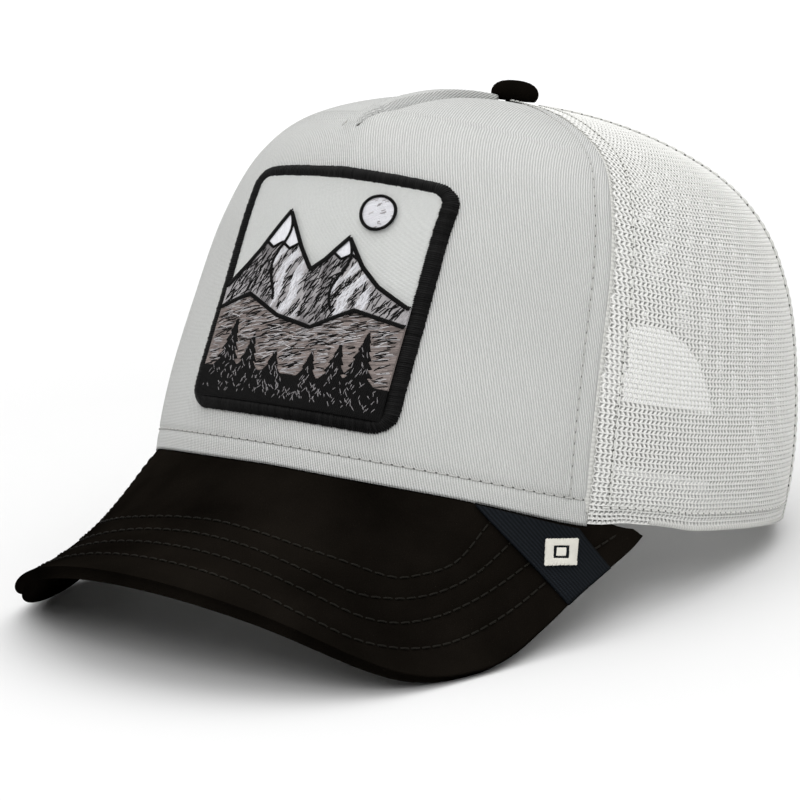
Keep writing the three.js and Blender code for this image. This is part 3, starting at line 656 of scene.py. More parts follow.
class EffectGroups:
    """Shader groups built once and placed in each material with its own values."""

    CROSS_PITCH = 0.42

    def __init__(self) -> None:
        """Builds every group."""
        self.trees = {Effect.RIBS: self.build_ribs(), Effect.GRAIN: self.build_grain()}

    @staticmethod
    def start(effect: Effect, inputs: dict[str, float],
              outputs: Sequence[str]) -> tuple[Nodes, bpy.types.Node, bpy.types.Node]:
        """Starts a group with a vector input and named numbers in and out.

        Args:
            effect: The effect that it makes.
            inputs: Its number inputs, with their usual values.
            outputs: Its number outputs.

        Returns:
            The group's nodes, its input node and its output node.
        """
        tree = bpy.data.node_groups.new(effect.value, "ShaderNodeTree")
        tree.interface.new_socket(name="Vector", in_out="INPUT", socket_type="NodeSocketVector")
        for name, value in inputs.items():
            socket = tree.interface.new_socket(name=name, in_out="INPUT", socket_type="NodeSocketFloat")
            socket.default_value = value
        for name in outputs:
            tree.interface.new_socket(name=name, in_out="OUTPUT", socket_type="NodeSocketFloat")
        nodes = Nodes(tree)
        return nodes, nodes.add("NodeGroupInput"), nodes.add("NodeGroupOutput")

    def build_ribs(self) -> bpy.types.NodeTree:
        """Leaning ribs crossed by finer threads, with uneven yarn, and a Shade output that is painted shade:
        darker colour in the grooves between ribs.

        Returns:
            The group's tree.
        """
        given = {"Pitch": 0.8, "Lean": 0.1, "Cross": 0.5, "Uneven": 0.6}
        n, source, out = self.start(Effect.RIBS, given, ("Height", "Shade"))
        xyz = n.add("ShaderNodeSeparateXYZ", {0: source.outputs["Vector"]})
        noise = n.add("ShaderNodeTexNoise", {"Vector": source.outputs["Vector"], "Scale": 0.9, "Detail": 3.0})
        wander = n.math("MULTIPLY", n.math("SUBTRACT", noise.outputs[0], 0.5), source.outputs["Uneven"])
        leaned = n.math("ADD", xyz.outputs[0], n.math("MULTIPLY", xyz.outputs[1], source.outputs["Lean"]))
        turns = n.math("ADD", n.math("DIVIDE", leaned, source.outputs["Pitch"]), wander)
        rib = n.math("SINE", n.math("MULTIPLY", turns, TAU))
        cross = n.math("SINE", n.math("MULTIPLY", xyz.outputs[1], TAU / self.CROSS_PITCH))
        mixed = n.math("ADD", rib, n.math("MULTIPLY", cross, source.outputs["Cross"]))
        height = n.remap(mixed, -1.5, 1.5, 0, 1)
        n.tree.links.new(height, out.inputs["Height"])
        # Shade: painted shade, darkest in the grooves between ribs
        n.tree.links.new(n.remap(rib, -1, 0.4, 0, 1), out.inputs["Shade"])
        return n.tree

    def build_grain(self) -> bpy.types.NodeTree:
        """Two sizes of soft noise, for nap, yarn and handling marks.

        Returns:
            The group's tree.
        """
        given = {"Fine": 900.0, "Broad": 30.0, "Balance": 0.5}
        n, source, out = self.start(Effect.GRAIN, given, ("Value", "Cloud"))
        noises = []
        for size, detail in (("Fine", 2.0), ("Broad", 4.0)):
            found = {"Vector": source.outputs["Vector"], "Scale": source.outputs[size], "Detail": detail}
            noises.append(n.add("ShaderNodeTexNoise", found).outputs[0])
        n.tree.links.new(noises[0], out.inputs["Value"])
        n.tree.links.new(n.remap(noises[1], 0.3, 0.7, 0, 1), out.inputs["Cloud"])
        return n.tree

    def place(self, nodes: Nodes, effect: Effect, vector: Socket,
              **values: float) -> bpy.types.Node:
        """Puts a group in a material's tree with its own values.

        Args:
            nodes: The material's tree.
            effect: Which group.
            vector: Where the pattern is read.
            values: The group's inputs.

        Returns:
            The placed node.
        """
        node = nodes.add("ShaderNodeGroup", node_tree=self.trees[effect])
        nodes.tree.links.new(vector, node.inputs["Vector"])
        for name, value in values.items():
            node.inputs[name].default_value = value
        return node


@dataclass(frozen=True)
class ClothFinish:
    """A woven or napped cloth: its two tones, its ribs and its grain."""

    name: str
    dark: tuple[float, float, float]
    light: tuple[float, float, float]
    roughness: float = 0.9
    pitch: float = 0.0
    lean: float = 0.1
    cross: float = 0.5
    uneven: float = 0.5
    rib_depth: float = 0.15
    grain_scale: float = 1500.0
    grain_depth: float = 0.05
    cloud: float = 0.15
    specular: float = 0.3
    tone_attribute: str = ""

    # Shares of the colour that come from grain, from no ribs and from the tone attribute, which is the
    # thread's own tone and, on the net, painted highlight on raised yarn and painted shade round its holes
    GRAIN_SHARE: ClassVar[float] = 0.25
    PLAIN_SHARE: ClassVar[float] = 0.6
    TONE_SHARE: ClassVar[float] = 0.75

    def material(self, effects: EffectGroups) -> bpy.types.Material:
        """Builds the finish as a material.

        Args:
            effects: The shared shader groups.

        Returns:
            The material.
        """
        given = {"Roughness": self.roughness, "Specular IOR Level": self.specular}
        mat, n, shader = start_material(self.name, given)
        coords = n.add("ShaderNodeTexCoord")
        grain = effects.place(n, Effect.GRAIN, coords.outputs["Object"], Fine=self.grain_scale)
        share = n.math("MULTIPLY", grain.outputs["Cloud"], self.cloud)
        share = n.math("ADD", share, n.math("MULTIPLY", grain.outputs["Value"], self.GRAIN_SHARE))
        height = n.math("MULTIPLY", grain.outputs["Value"], self.grain_depth)
        if self.pitch:
            uv = n.add("ShaderNodeUVMap", uv_map="cloth")
            ribs = effects.place(n, Effect.RIBS, uv.outputs[0], Pitch=self.pitch, Lean=self.lean,
                                 Cross=self.cross, Uneven=self.uneven)
            # the ribs' painted shade darkens the colour in their grooves
            rib_shade_share = 1 - self.GRAIN_SHARE - self.cloud
            share = n.math("ADD", share, n.math("MULTIPLY", ribs.outputs["Shade"], rib_shade_share))
            height = n.math("ADD", height, n.math("MULTIPLY", ribs.outputs["Height"], self.rib_depth))
        else:
            share = n.math("ADD", share, self.PLAIN_SHARE - self.cloud)
        if self.tone_attribute:
            tone = n.add("ShaderNodeAttribute", attribute_name=self.tone_attribute)
            own = n.math("MULTIPLY", share, 1 - self.TONE_SHARE)
            share = n.math("ADD", own, n.math("MULTIPLY", tone.outputs["Fac"], self.TONE_SHARE))
        n.tree.links.new(n.tint(share, self.dark, self.light), shader.inputs["Base Color"])
        bump = n.add("ShaderNodeBump", {"Height": height, "Distance": MM, "Strength": 1.0})
        n.tree.links.new(bump.outputs[0], shader.inputs["Normal"])
        return mat


@dataclass(frozen=True)
class PlasticFinish:
    """Moulded plastic with a faint grain."""

    name: str
    colour: tuple[float, float, float]
    roughness: float = 0.45

    def material(self, effects: EffectGroups) -> bpy.types.Material:
        """Builds the finish as a material with a slightly uneven gloss.

        Args:
            effects: The shared shader groups.

        Returns:
            The material.
        """
        mat, n, shader = start_material(self.name, {})
        coords = n.add("ShaderNodeTexCoord")
        grain = effects.place(n, Effect.GRAIN, coords.outputs["Object"], Fine=1100.0, Broad=60.0)
        dark = tuple(0.9 * c for c in self.colour)
        n.tree.links.new(n.tint(grain.outputs["Cloud"], dark, self.colour), shader.inputs["Base Color"])
        rough = n.remap(grain.outputs["Value"], 0, 1, self.roughness - 0.06, self.roughness + 0.08)
        n.tree.links.new(rough, shader.inputs["Roughness"])
        bump = n.add("ShaderNodeBump", {"Height": grain.outputs["Value"], "Distance": 0.03 * MM})
        n.tree.links.new(bump.outputs[0], shader.inputs["Normal"])
        return mat


class Finishes:
    """Every finish of the hat, built once."""

    TABLE = (
        ClothFinish("front_twill", (0.37, 0.375, 0.365), (0.685, 0.69, 0.675), pitch=0.76, lean=0.4,
                    rib_depth=0.24, cross=0.3, uneven=0.4, cloud=0.1),
        # its tone attribute carries painted highlight on the raised yarn and painted shade round the holes
        ClothFinish("net_yarn", (0.55, 0.55, 0.53), (0.95, 0.95, 0.92), grain_scale=3200, grain_depth=0.16,
                    tone_attribute="tone", cloud=0.1),
        ClothFinish("hem_tape", (0.5, 0.5, 0.48), (0.7, 0.7, 0.67), pitch=0.7, lean=0.0, rib_depth=0.12,
                    cloud=0.1),
        ClothFinish("suede", (0.0012, 0.001, 0.0008), (0.0105, 0.0085, 0.0066), roughness=0.95,
                    grain_scale=2600, grain_depth=0.2, cloud=0.6, specular=0.0),
        ClothFinish("ribbon", (0.0008, 0.0014, 0.002), (0.009, 0.0115, 0.015), roughness=0.65, pitch=0.8,
                    lean=0.0, cross=0.6, uneven=0.1, rib_depth=0.2, cloud=0.08, specular=0.06),
        ClothFinish("motif_weave", (0.45, 0.44, 0.4), (0.82, 0.8, 0.73), roughness=0.8, pitch=0.5, lean=1.0,
                    rib_depth=0.12, cloud=0.08),
        ClothFinish("patch_twill", (0.44, 0.45, 0.44), (0.79, 0.8, 0.78), pitch=0.92, lean=-2.6,
                    rib_depth=0.2, cross=0.2, uneven=0.35, cloud=0.1),
        ClothFinish("cream_thread", (0.6, 0.6, 0.58), (0.76, 0.76, 0.73), roughness=0.7, cloud=0.1),
        ClothFinish("seam_thread", (0.34, 0.34, 0.33), (0.5, 0.5, 0.48), roughness=0.7, cloud=0.1),
        # dark thread that is painted shade in needle holes and along the dart's fold
        ClothFinish("painted_hole_shade", (0.05, 0.05, 0.047), (0.14, 0.14, 0.13), roughness=0.95, specular=0.0),
        ClothFinish("olive_thread", (0.002, 0.0018, 0.0014), (0.019, 0.017, 0.0135), roughness=0.7, cloud=0.5,
                    specular=0.06),
        ClothFinish("black_thread", (0.0008, 0.0008, 0.0008), (0.009, 0.0087, 0.0087), roughness=0.5,
                    specular=0.1, tone_attribute="tone", cloud=0.1),
        ClothFinish("white_thread", (0.42, 0.42, 0.45), (0.84, 0.84, 0.87), roughness=0.5, specular=0.45,
                    tone_attribute="tone", cloud=0.1),
        ClothFinish("grey_thread", (0.12, 0.11, 0.115), (0.62, 0.6, 0.61), roughness=0.5, specular=0.45,
                    tone_attribute="tone", cloud=0.1),
        ClothFinish("taupe_thread", (0.05, 0.038, 0.034), (0.4, 0.34, 0.32), roughness=0.5, specular=0.4,
                    tone_attribute="tone", cloud=0.1),
        PlasticFinish("strap_plastic", (0.66, 0.66, 0.63)),
    )

    def __init__(self) -> None:
        """Builds the shared groups and every material."""
        effects = EffectGroups()
        self.made = {finish.name: finish.material(effects) for finish in self.TABLE}

    def __getitem__(self, name: str) -> bpy.types.Material:
        """The material of that name."""
        return self.made[name]


# Crown

@dataclass
class FrontPanel:
    """The stiff twill front with its folded centre dart."""

    crown: CrownForm
    thickness: float = 2.0
    band_width: float = 4.5
    band_rise: float = 1.0
    fold_sink: float = 1.1
    dent: float = 1.4
    dent_reach: float = 15
    edge_roll: float = 0.7
    groove: float = 0.4
    sewn_at: float = 6.0
    height: float = 137
    seam_gap: float = 0.15 / 80
    columns: int = 181
    rows: int = 133

    def grid(self, u: Array, v: Array) -> tuple[Array, Array]:
        """Places on the crown for shares across and up the panel.

        Args:
            u: Shares across, from 0 at the wearer's right to 1.
            v: Shares up, from 0 at the rim to 1.

        Returns:
            Angles and levels.
        """
        level = v * self.crown.TOP
        edge = self.crown.seam(level) - self.seam_gap
        return (2 * u - 1) * edge, level

    def band(self, x: Array, level: Array) -> Array:
        """Rise of the folded band beside the dart's line, and the dent that it lies in.

        Args:
            x: Places across, in mm.
            level: Levels of the crown.

        Returns:
            Heights over the plain front, in mm.
        """
        start = self.crown.DART_START
        x = x - self.crown.dart_x(level)
        started = ease(level, start - 0.01, start + 0.03)
        inner = 1 - ease(x, -0.45, 0.0)
        outer = ease(x, -self.band_width - 0.7, -self.band_width)
        sink = self.fold_sink * np.exp(-(((x - 0.1) / 0.45) ** 2))
        away = np.maximum(x, 0) + 1.6 * np.maximum(-self.band_width - x, 0)
        fade = np.exp(-away / self.dent_reach) * (1 - inner * outer)
        dent = self.dent * ease(level, start, 0.74) * fade
        return started * (self.band_rise * inner * outer - sink) - dent

    def build(self, finishes: Finishes) -> Piece:
        """Builds the panel and dresses it in twill.

        Args:
            finishes: The hat's finishes.

        Returns:
            The panel.
        """
        v, u = np.meshgrid(np.linspace(0, 1, self.rows), np.linspace(0, 1, self.columns), indexing="ij")
        t = 2 * u - 1
        u = 0.5 + 0.5 * np.sign(t) * (0.55 * np.abs(t) + 0.45 * np.abs(t) ** 2)
        angle, level = self.grid(u, v)
        roll = np.abs(2 * u - 1)
        above_rim = ease(level, 0.0, 0.03)
        from_seam = (1 - roll) * self.crown.SECTIONS[0, 2] - self.sewn_at
        from_rim = level * self.height - self.sewn_at
        lift = self.band(self.crown.base(angle, level)[..., 0], level)
        lift = lift - self.edge_roll * ease(roll, 0.985, 1.0) ** 2 * above_rim
        lift = lift - self.groove * np.exp(-((from_seam / 0.9) ** 2)) * above_rim
        lift = lift - self.groove * np.exp(-((from_rim / 0.8) ** 2))
        outer = self.crown.point(angle, level, lift)
        inner = self.crown.point(angle, level, np.full_like(lift, -self.thickness))
        across = np.linalg.norm(np.diff(outer, axis=1), axis=-1)
        across = np.concatenate([np.zeros((self.rows, 1)), np.cumsum(across, 1)], 1)
        across -= across[:, self.columns // 2][:, None]
        up = np.linalg.norm(np.diff(outer[:, self.columns // 2], axis=0), axis=-1)
        up = np.concatenate([[0], np.cumsum(up)])[:, None] + 0 * across
        obj = make_wall("front_twill", self.crown, outer, inner, np.stack([across, up], -1))
        return settle(obj, "twill", finishes["front_twill"], ["front_panel"])


class Arch:
    """The half-moon opening at the back."""

    CENTRE_X, HALF_WIDTH, HEIGHT, SQUARENESS = -6.0, 31.0, 50.0, 2.2

    def __init__(self, crown: CrownForm) -> None:
        """Keeps the crown that the opening is cut in.

        Args:
            crown: The crown.
        """
        self.crown = crown
        two_rows = 2 / (len(crown.SECTIONS) - 1)
        self.step = (crown.SECTIONS[2, 5] - crown.SECTIONS[0, 5]) / two_rows

    def angle_at(self, x: Array, level: Array) -> Array:
        """Angle round the back at which the crown has that x.

        Args:
            x: X in mm.
            level: Level from rim to button.

        Returns:
            Angles round the crown.
        """
        side = through_rows(self.crown.SECTIONS[:, 2], level)
        square = through_rows(self.crown.SECTIONS[:, 7], level)
        share = np.clip((np.abs(x) / side) ** (square / 2), 0, 1)
        return math.pi - np.sign(x) * np.arcsin(share)

    def edge(self, turn: Array) -> tuple[Array, Array]:
        """Angle and level along the opening's edge, for turn from 0 at the wearer's left to pi.

        Args:
            turn: Place along the edge.

        Returns:
            Angles and levels.
        """
        c, s = np.cos(turn), np.sin(turn)
        power = 2 / self.SQUARENESS
        x = self.CENTRE_X + self.HALF_WIDTH * np.sign(c) * np.abs(c) ** power
        level = self.HEIGHT * np.abs(s) ** power / self.step
        return self.angle_at(x, level), level

    def ends(self) -> tuple[float, float]:
        """Angles of the opening's left and right foot."""
        return self.edge(np.array([0.0]))[0][0], self.edge(np.array([math.pi]))[0][0]

    def push_out(self, angle: Array, level: Array) -> tuple[Array, Array, Array]:
        """Moves places inside the opening onto its edge.

        Args:
            angle: Angles round the crown.
            level: Levels of the crown.

        Returns:
            The moved angles and levels, and each place's share of the way out to the edge before.
        """
        x = self.crown.base(angle, level)[..., 0] - self.CENTRE_X
        across, up = np.abs(x / self.HALF_WIDTH), np.abs(level * self.step / self.HEIGHT)
        out = (across**self.SQUARENESS + up**self.SQUARENESS) ** (1 / self.SQUARENESS)
        behind = np.cos(angle) < 0
        grow = np.where((out < 1) & behind, 1 / np.maximum(out, 0.05), 1)
        moved, new_level = grow > 1, level * grow
        new_angle = np.where(moved, self.angle_at(self.CENTRE_X + x * grow, new_level), angle)
        return new_angle, np.where(moved, new_level, level), np.where(behind, out, 2.0)


@dataclass
class NetPanel:
    """One panel of knitted net, cut through at every hole."""

    crown: CrownForm
    arch: Arch
    name: str
    node: str
    low_edge: Callable[[Array], Array]
    high_edge: Callable[[Array], Array]
    pitch: float = 1.7
    course: float = 1.32
    zigzag: float = 0.42
    hole: tuple[float, float] = (0.265, 0.58)
    thickness: float = 0.36
    lift: float = -0.25
    widest: float = 70
    strip: tuple[float, float] | None = None
    hem: float | None = None

    # A cell's points are its 4 outer knots, 2 outer middles, 4 of its hole and 4 inner knots
    CELL_FACES: ClassVar[tuple[tuple[int, int, int], ...]] = (
        (0, 1, 7), (0, 7, 6), (1, 4, 7), (4, 2, 8), (4, 8, 7), (2, 3, 9), (2, 9, 8), (3, 5, 9),
        (5, 0, 6), (5, 6, 9), (11, 10, 7), (10, 6, 7), (12, 11, 8), (11, 7, 8), (13, 12, 9),
        (12, 8, 9), (10, 13, 6), (13, 9, 6),
    )

    def tables(self) -> tuple[Array, Array, Array, Array, Array]:
        """Tables that lead from the flat net to the crown.

        Returns:
            Levels, their heights and half-widths in mm, places across.
        """
        levels = np.linspace(0, self.crown.TOP, 90)
        share = np.linspace(0, 1, 70)
        low, high = self.low_edge(levels), self.high_edge(levels)
        angle = low[:, None] + (high - low)[:, None] * share
        points = self.crown.base(angle, levels[:, None])
        arc = np.linalg.norm(np.diff(points, axis=1), axis=-1)
        arc = np.concatenate([np.zeros((len(levels), 1)), np.cumsum(arc, 1)], 1)
        middle = points[:, len(share) // 2]
        rise = np.concatenate([[0], np.cumsum(np.linalg.norm(np.diff(middle, axis=0), axis=-1))])
        half = arc[:, -1] / 2
        places = np.linspace(-self.widest, self.widest, 281)
        table = np.stack([np.interp(places + h, a, g) for h, a, g in zip(half, arc, angle)])
        return levels, rise, half, places, table

    def cells(self, rows: int, reach: int) -> tuple[Array, Array, Array]:
        """The flat net's joints and its cells.

        Args:
            rows: Rows of knots.
            reach: Columns of knots to each side of the middle.

        Returns:
            The knots and then the middles between each two rows, and the knots round each cell.
        """
        columns = 2 * reach + 1
        j, i = np.meshgrid(np.arange(rows), np.arange(columns), indexing="ij")
        sway = np.where(j % 2, 1, -1) * self.zigzag
        knots = np.stack([(i - reach) * self.pitch + sway, j * self.course], -1)
        middles = (knots[:-1] + knots[1:]) / 2
        number = np.arange(rows * columns).reshape(rows, columns)
        between = rows * columns + np.arange((rows - 1) * columns).reshape(rows - 1, columns)
        round_cell = [number[:-1, :-1], number[:-1, 1:], number[1:, 1:], number[1:, :-1]]
        corners = np.stack([*round_cell, between[:, 1:], between[:, :-1]], 2).reshape(-1, 6)
        joints = np.concatenate([knots.reshape(-1, 2), middles.reshape(-1, 2)])
        return joints, joints[corners[:, :4]], corners

    def build(self, finishes: Finishes) -> Piece:
        """Builds the net and dresses it in yarn.

        Args:
            finishes: The hat's finishes.

        Returns:
            The net.
        """
        levels, rise, half, places, table = self.tables()
        rows, reach = int(rise[-1] / self.course) + 2, int(self.widest / self.pitch) + 1
        joints, cells, corners = self.cells(rows, reach)
        keep = self.kept(cells.mean(1), rise, half)
        cells, corners = cells[keep], corners[keep]
        centre = cells.mean(1)
        apart = cells - centre[:, None]
        lean = (apart[:, 2:3, :1] - self.pitch / 2) * apart[..., 1:] / (self.course / 2)
        ring_x = (apart[..., :1] - lean) * self.hole[0] + lean * self.hole[1]
        ring = centre[:, None] + np.concatenate([ring_x, apart[..., 1:] * self.hole[1]], -1)
        where = np.concatenate([joints, ring.reshape(-1, 2)])
        angle, level, out = self.to_crown(where, levels, rise, places, table)
        n = len(joints)
        swell = np.where(np.arange(n) < rows * (2 * reach + 1), -0.04, 0.1)
        top = self.crown.point(angle[:n], level[:n], self.lift + swell)
        bottom = self.crown.point(angle[:n], level[:n], self.lift - self.thickness)
        rim = self.crown.point(angle[n:], level[n:], self.lift - 0.5 * self.thickness)
        points = np.concatenate([top, bottom, rim])
        # tone: painted highlight on the raised middles of the yarn, painted shade round each hole
        tone = np.concatenate([0.75 + 2 * swell, np.full(n, 0.5), np.full(len(rim), 0.22)])
        hole = 2 * n + np.arange(len(centre) * 4).reshape(-1, 4)
        alive = out[n:].reshape(-1, 4).max(1) > 1.0
        cell = np.concatenate([corners, hole, corners[:, :4] + n], 1)[alive]
        faces = cell[:, self.CELL_FACES].reshape(-1, 3)
        used, faces = np.unique(faces, return_inverse=True)
        obj = make_piece(self.name, self.crown.place(points[used]), faces.reshape(-1, 3), tone=tone[used])
        return settle(obj, "net", finishes["net_yarn"], [self.node] if self.node else [])

    def kept(self, centre: Array, rise: Array, half: Array) -> Array:
        """Which cells lie within the panel, or within its strip or hem.

        Args:
            centre: Middle angle of each cell.
            rise: Height of each cell over the rim.
            half: Half width of the panel there.

        Returns:
            True where a cell stays.
        """
        wide = np.interp(centre[:, 1], rise, half)
        keep = (np.abs(centre[:, 0]) < wide - 0.1) & (centre[:, 1] < rise[-1])
        if self.strip:
            edge = wide + centre[:, 0] if self.strip[0] < 0 else wide - centre[:, 0]
            keep &= edge < self.strip[1]
        if self.hem:
            keep &= centre[:, 1] < self.hem
        return keep

    def to_crown(self, where: Array, levels: Array, rise: Array, places: Array,
                 table: Array) -> tuple[Array, Array, Array]:
        """Turns places on the flat net into angles and levels of the crown.

        Args:
            where: Flat places in mm.
            levels: Levels of the table.
            rise: Heights of the levels.
            places: Angles of the table.
            table: Flat widths at each level and angle.

        Returns:
            Angles, levels and shares of the panel's width.
        """
        q = np.clip(where[:, 1], 0.0, rise[-1])
        level = np.interp(q, rise, levels)
        row = np.clip(np.interp(level, levels, np.arange(len(levels))), 0, len(levels) - 1.001)
        col = np.clip((where[:, 0] - places[0]) / (places[1] - places[0]), 0, len(places) - 1.001)
        r, c = row.astype(int), col.astype(int)
        f, g = row - r, col - c
        a = table[r, c] * (1 - g) + table[r, c + 1] * g
        b = table[r + 1, c] * (1 - g) + table[r + 1, c + 1] * g
        return self.arch.push_out(a * (1 - f) + b * f, level)


@dataclass
class SeamCords:
    """Narrow rolled edges: the seams, the hem and the half-moon's binding.

    Each size is a roll's width, height and lift off the crown.
    """

    crown: CrownForm
    arch: Arch
    net_seam: tuple[float, float, float] = (2.2, 0.9, -0.25)
    front_seam: tuple[float, float, float] = (3.2, 1.0, -0.95)
    hem: tuple[float, float, float] = (1.5, 1.5, -0.5)
    binding: tuple[float, float, float] = (2.6, 1.4, -0.45)
    sides: int = 8
    seam_stops: int = 90
    hem_stops: int = 120

    def roll(self, angle: Array, level: Array, size: Sequence[float]) -> Array:
        """Loops of a flattened roll along a line on the crown.

        Args:
            angle: Angles of the line's points.
            level: Levels of the line's points.
            size: The roll's width, height and lift off the crown, in mm.

        Returns:
            The loops, (points, sides, 3), closed to a point at both ends.
        """
        wide, high, lift = size
        line = self.crown.point(angle, level, np.full(angle.shape, lift))
        ahead = unit(np.gradient(line, axis=0))
        normal = self.crown.normal(angle, level)
        side = unit(np.cross(normal, ahead))
        turn = np.arange(self.sides) * TAU / self.sides
        across = side[:, None] * np.cos(turn)[:, None] * wide / 2
        rings = line[:, None] + across + normal[:, None] * np.sin(turn)[:, None] * high / 2
        first, last = rings[:1].mean(1, keepdims=True), rings[-1:].mean(1, keepdims=True)
        return np.concatenate([first + 0 * rings[:1], rings, last + 0 * rings[-1:]])

    def build(self, finishes: Finishes) -> list[Piece]:
        """Builds the seam rolls, the hem roll and the binding.

        Args:
            finishes: The hat's finishes.

        Returns:
            The rolls.
        """
        crown, stops = self.crown, self.seam_stops
        up = np.linspace(0.0, crown.TOP, stops)
        up_back = np.linspace(0.38, crown.TOP, stops)
        arch_angle, arch_level = self.arch.edge(np.linspace(0, math.pi, stops))
        left, right = self.arch.ends()
        end = math.radians(74)
        hem_left = np.linspace(end, left, self.hem_stops)
        hem_right = np.linspace(right, TAU - end, self.hem_stops)
        low = np.full(self.hem_stops, 0.0045)
        lines = {
            "seam_roll_left": (np.full(stops, crown.SIDE_SEAM), up, self.net_seam),
            "seam_roll_right": (np.full(stops, -crown.SIDE_SEAM), up, self.net_seam),
            "seam_roll_front_left": (crown.seam(up), up, self.front_seam),
            "seam_roll_front_right": (-crown.seam(up), up, self.front_seam),
            "seam_roll_back": (np.full(stops, crown.BACK_CENTRE), up_back, self.net_seam),
            "hem_roll_left": (hem_left, low, self.hem),
            "hem_roll_right": (hem_right, low, self.hem),
            "half_moon_binding": (arch_angle, arch_level + 0.002, self.binding),
        }
        made = []
        for name, (angle, level, size) in lines.items():
            loops = self.roll(angle, level, size)
            place = np.arange(len(loops))[:, None] + 0 * np.arange(self.sides)
            uv = np.stack([place * 0.9, np.arange(self.sides) + 0 * place], -1).reshape(-1, 2)
            obj = make_loops(name, crown, loops, uv=uv)
            made.append(settle(obj, "net", finishes["hem_tape"]))
        return made


@dataclass
class Crown:
    """The whole crown: twill front, four net panels and their rolled edges."""

    form: CrownForm
    hem: float = 6.2
    seam_strip: float = 8.5
    under_lift: float = -0.72

    def build(self, finishes: Finishes) -> None:
        """Builds every panel and the rolls between them.

        Args:
            finishes: The hat's finishes.
        """
        form = self.form
        FrontPanel(form).build(finishes)
        arch = Arch(form)
        front, side, back = form.seam, self.straight(form.SIDE_SEAM), self.straight(form.BACK_CENTRE)
        other_side = self.straight(TAU - form.SIDE_SEAM)
        edges = (
            ("net_side_left", "side_panel_left", front, side, -1),
            ("net_back_left", "back_panel_left", side, back, 0),
            ("net_back_right", "back_panel_right", back, other_side, 0),
            ("net_side_right", "side_panel_right", other_side, self.other_front, 1),
        )
        for name, node, low, high, strip in edges:
            panel = NetPanel(form, arch, name, node, low, high)
            panel.build(finishes)
            under = replace(panel, node="", lift=self.under_lift)
            replace(under, name=name + "_hem", hem=self.hem).build(finishes)
            if strip:
                replace(under, name=name + "_seam", strip=(strip, self.seam_strip)).build(finishes)
        SeamCords(form, arch).build(finishes)

    def straight(self, angle: float) -> Callable[[Array], Array]:
        """An edge that stays at one angle.

        Args:
            angle: The angle.

        Returns:
            A function of the level, as a seam is.
        """
        def edge(level: Array) -> Array:
            """The angle at each level."""
            return np.full(np.shape(level), angle)
        return edge

    def other_front(self, level: Array) -> Array:
        """Angle of the front seam at the wearer's right."""
        return TAU - self.form.seam(level)


# Threads

@dataclass
class Stitches:
    """A set of stitches: where each lies, its frame, its size and its tone."""

    centres: list[Array]
    ahead: list[Array]
    normals: list[Array]
    lengths: list[Array]
    widths: list[Array]
    tones: list[Array]

    @classmethod
    def empty(cls) -> "Stitches":
        """A set with nothing in it."""
        return cls([], [], [], [], [], [])

    def add(self, centres: Array, ahead: Array, normals: Array, length: Array | float, width: float,
            tone: Array | float = 0.5) -> None:
        """Adds stitches in upright millimetres.

        Args:
            centres: Middle of each stitch.
            ahead: Direction that each runs in.
            normals: Direction off the cloth at each.
            length: One length, or one for each.
            width: Thickness of the thread.
            tone: One tone, or one for each.
        """
        count = len(centres)
        self.centres.append(centres)
        self.ahead.append(ahead)
        self.normals.append(normals)
        self.lengths.append(np.full(count, length) if np.isscalar(length) else length)
        self.widths.append(np.full(count, width))
        self.tones.append(np.full(count, tone) if np.isscalar(tone) else tone)

    def frames(self, form: CrownForm) -> tuple[Array, Array, Array, Array]:
        """Places in metres, turns as Euler angles, sizes in metres and tones.

        Args:
            form: The crown that the stitches turn with.

        Returns:
            The four arrays.
        """
        x = unit(form.turn(np.concatenate(self.ahead)))
        z = form.turn(np.concatenate(self.normals))
        y = unit(np.cross(z, x))
        z = np.cross(x, y)
        turn = np.stack([np.arctan2(y[:, 2], z[:, 2]), -np.arcsin(np.clip(x[:, 2], -1, 1)),
                         np.arctan2(x[:, 1], x[:, 0])], -1)
        width = np.concatenate(self.widths)
        size = np.stack([np.concatenate(self.lengths), width, width], -1) * MM
        return form.place(np.concatenate(self.centres)), turn, size, np.concatenate(self.tones)


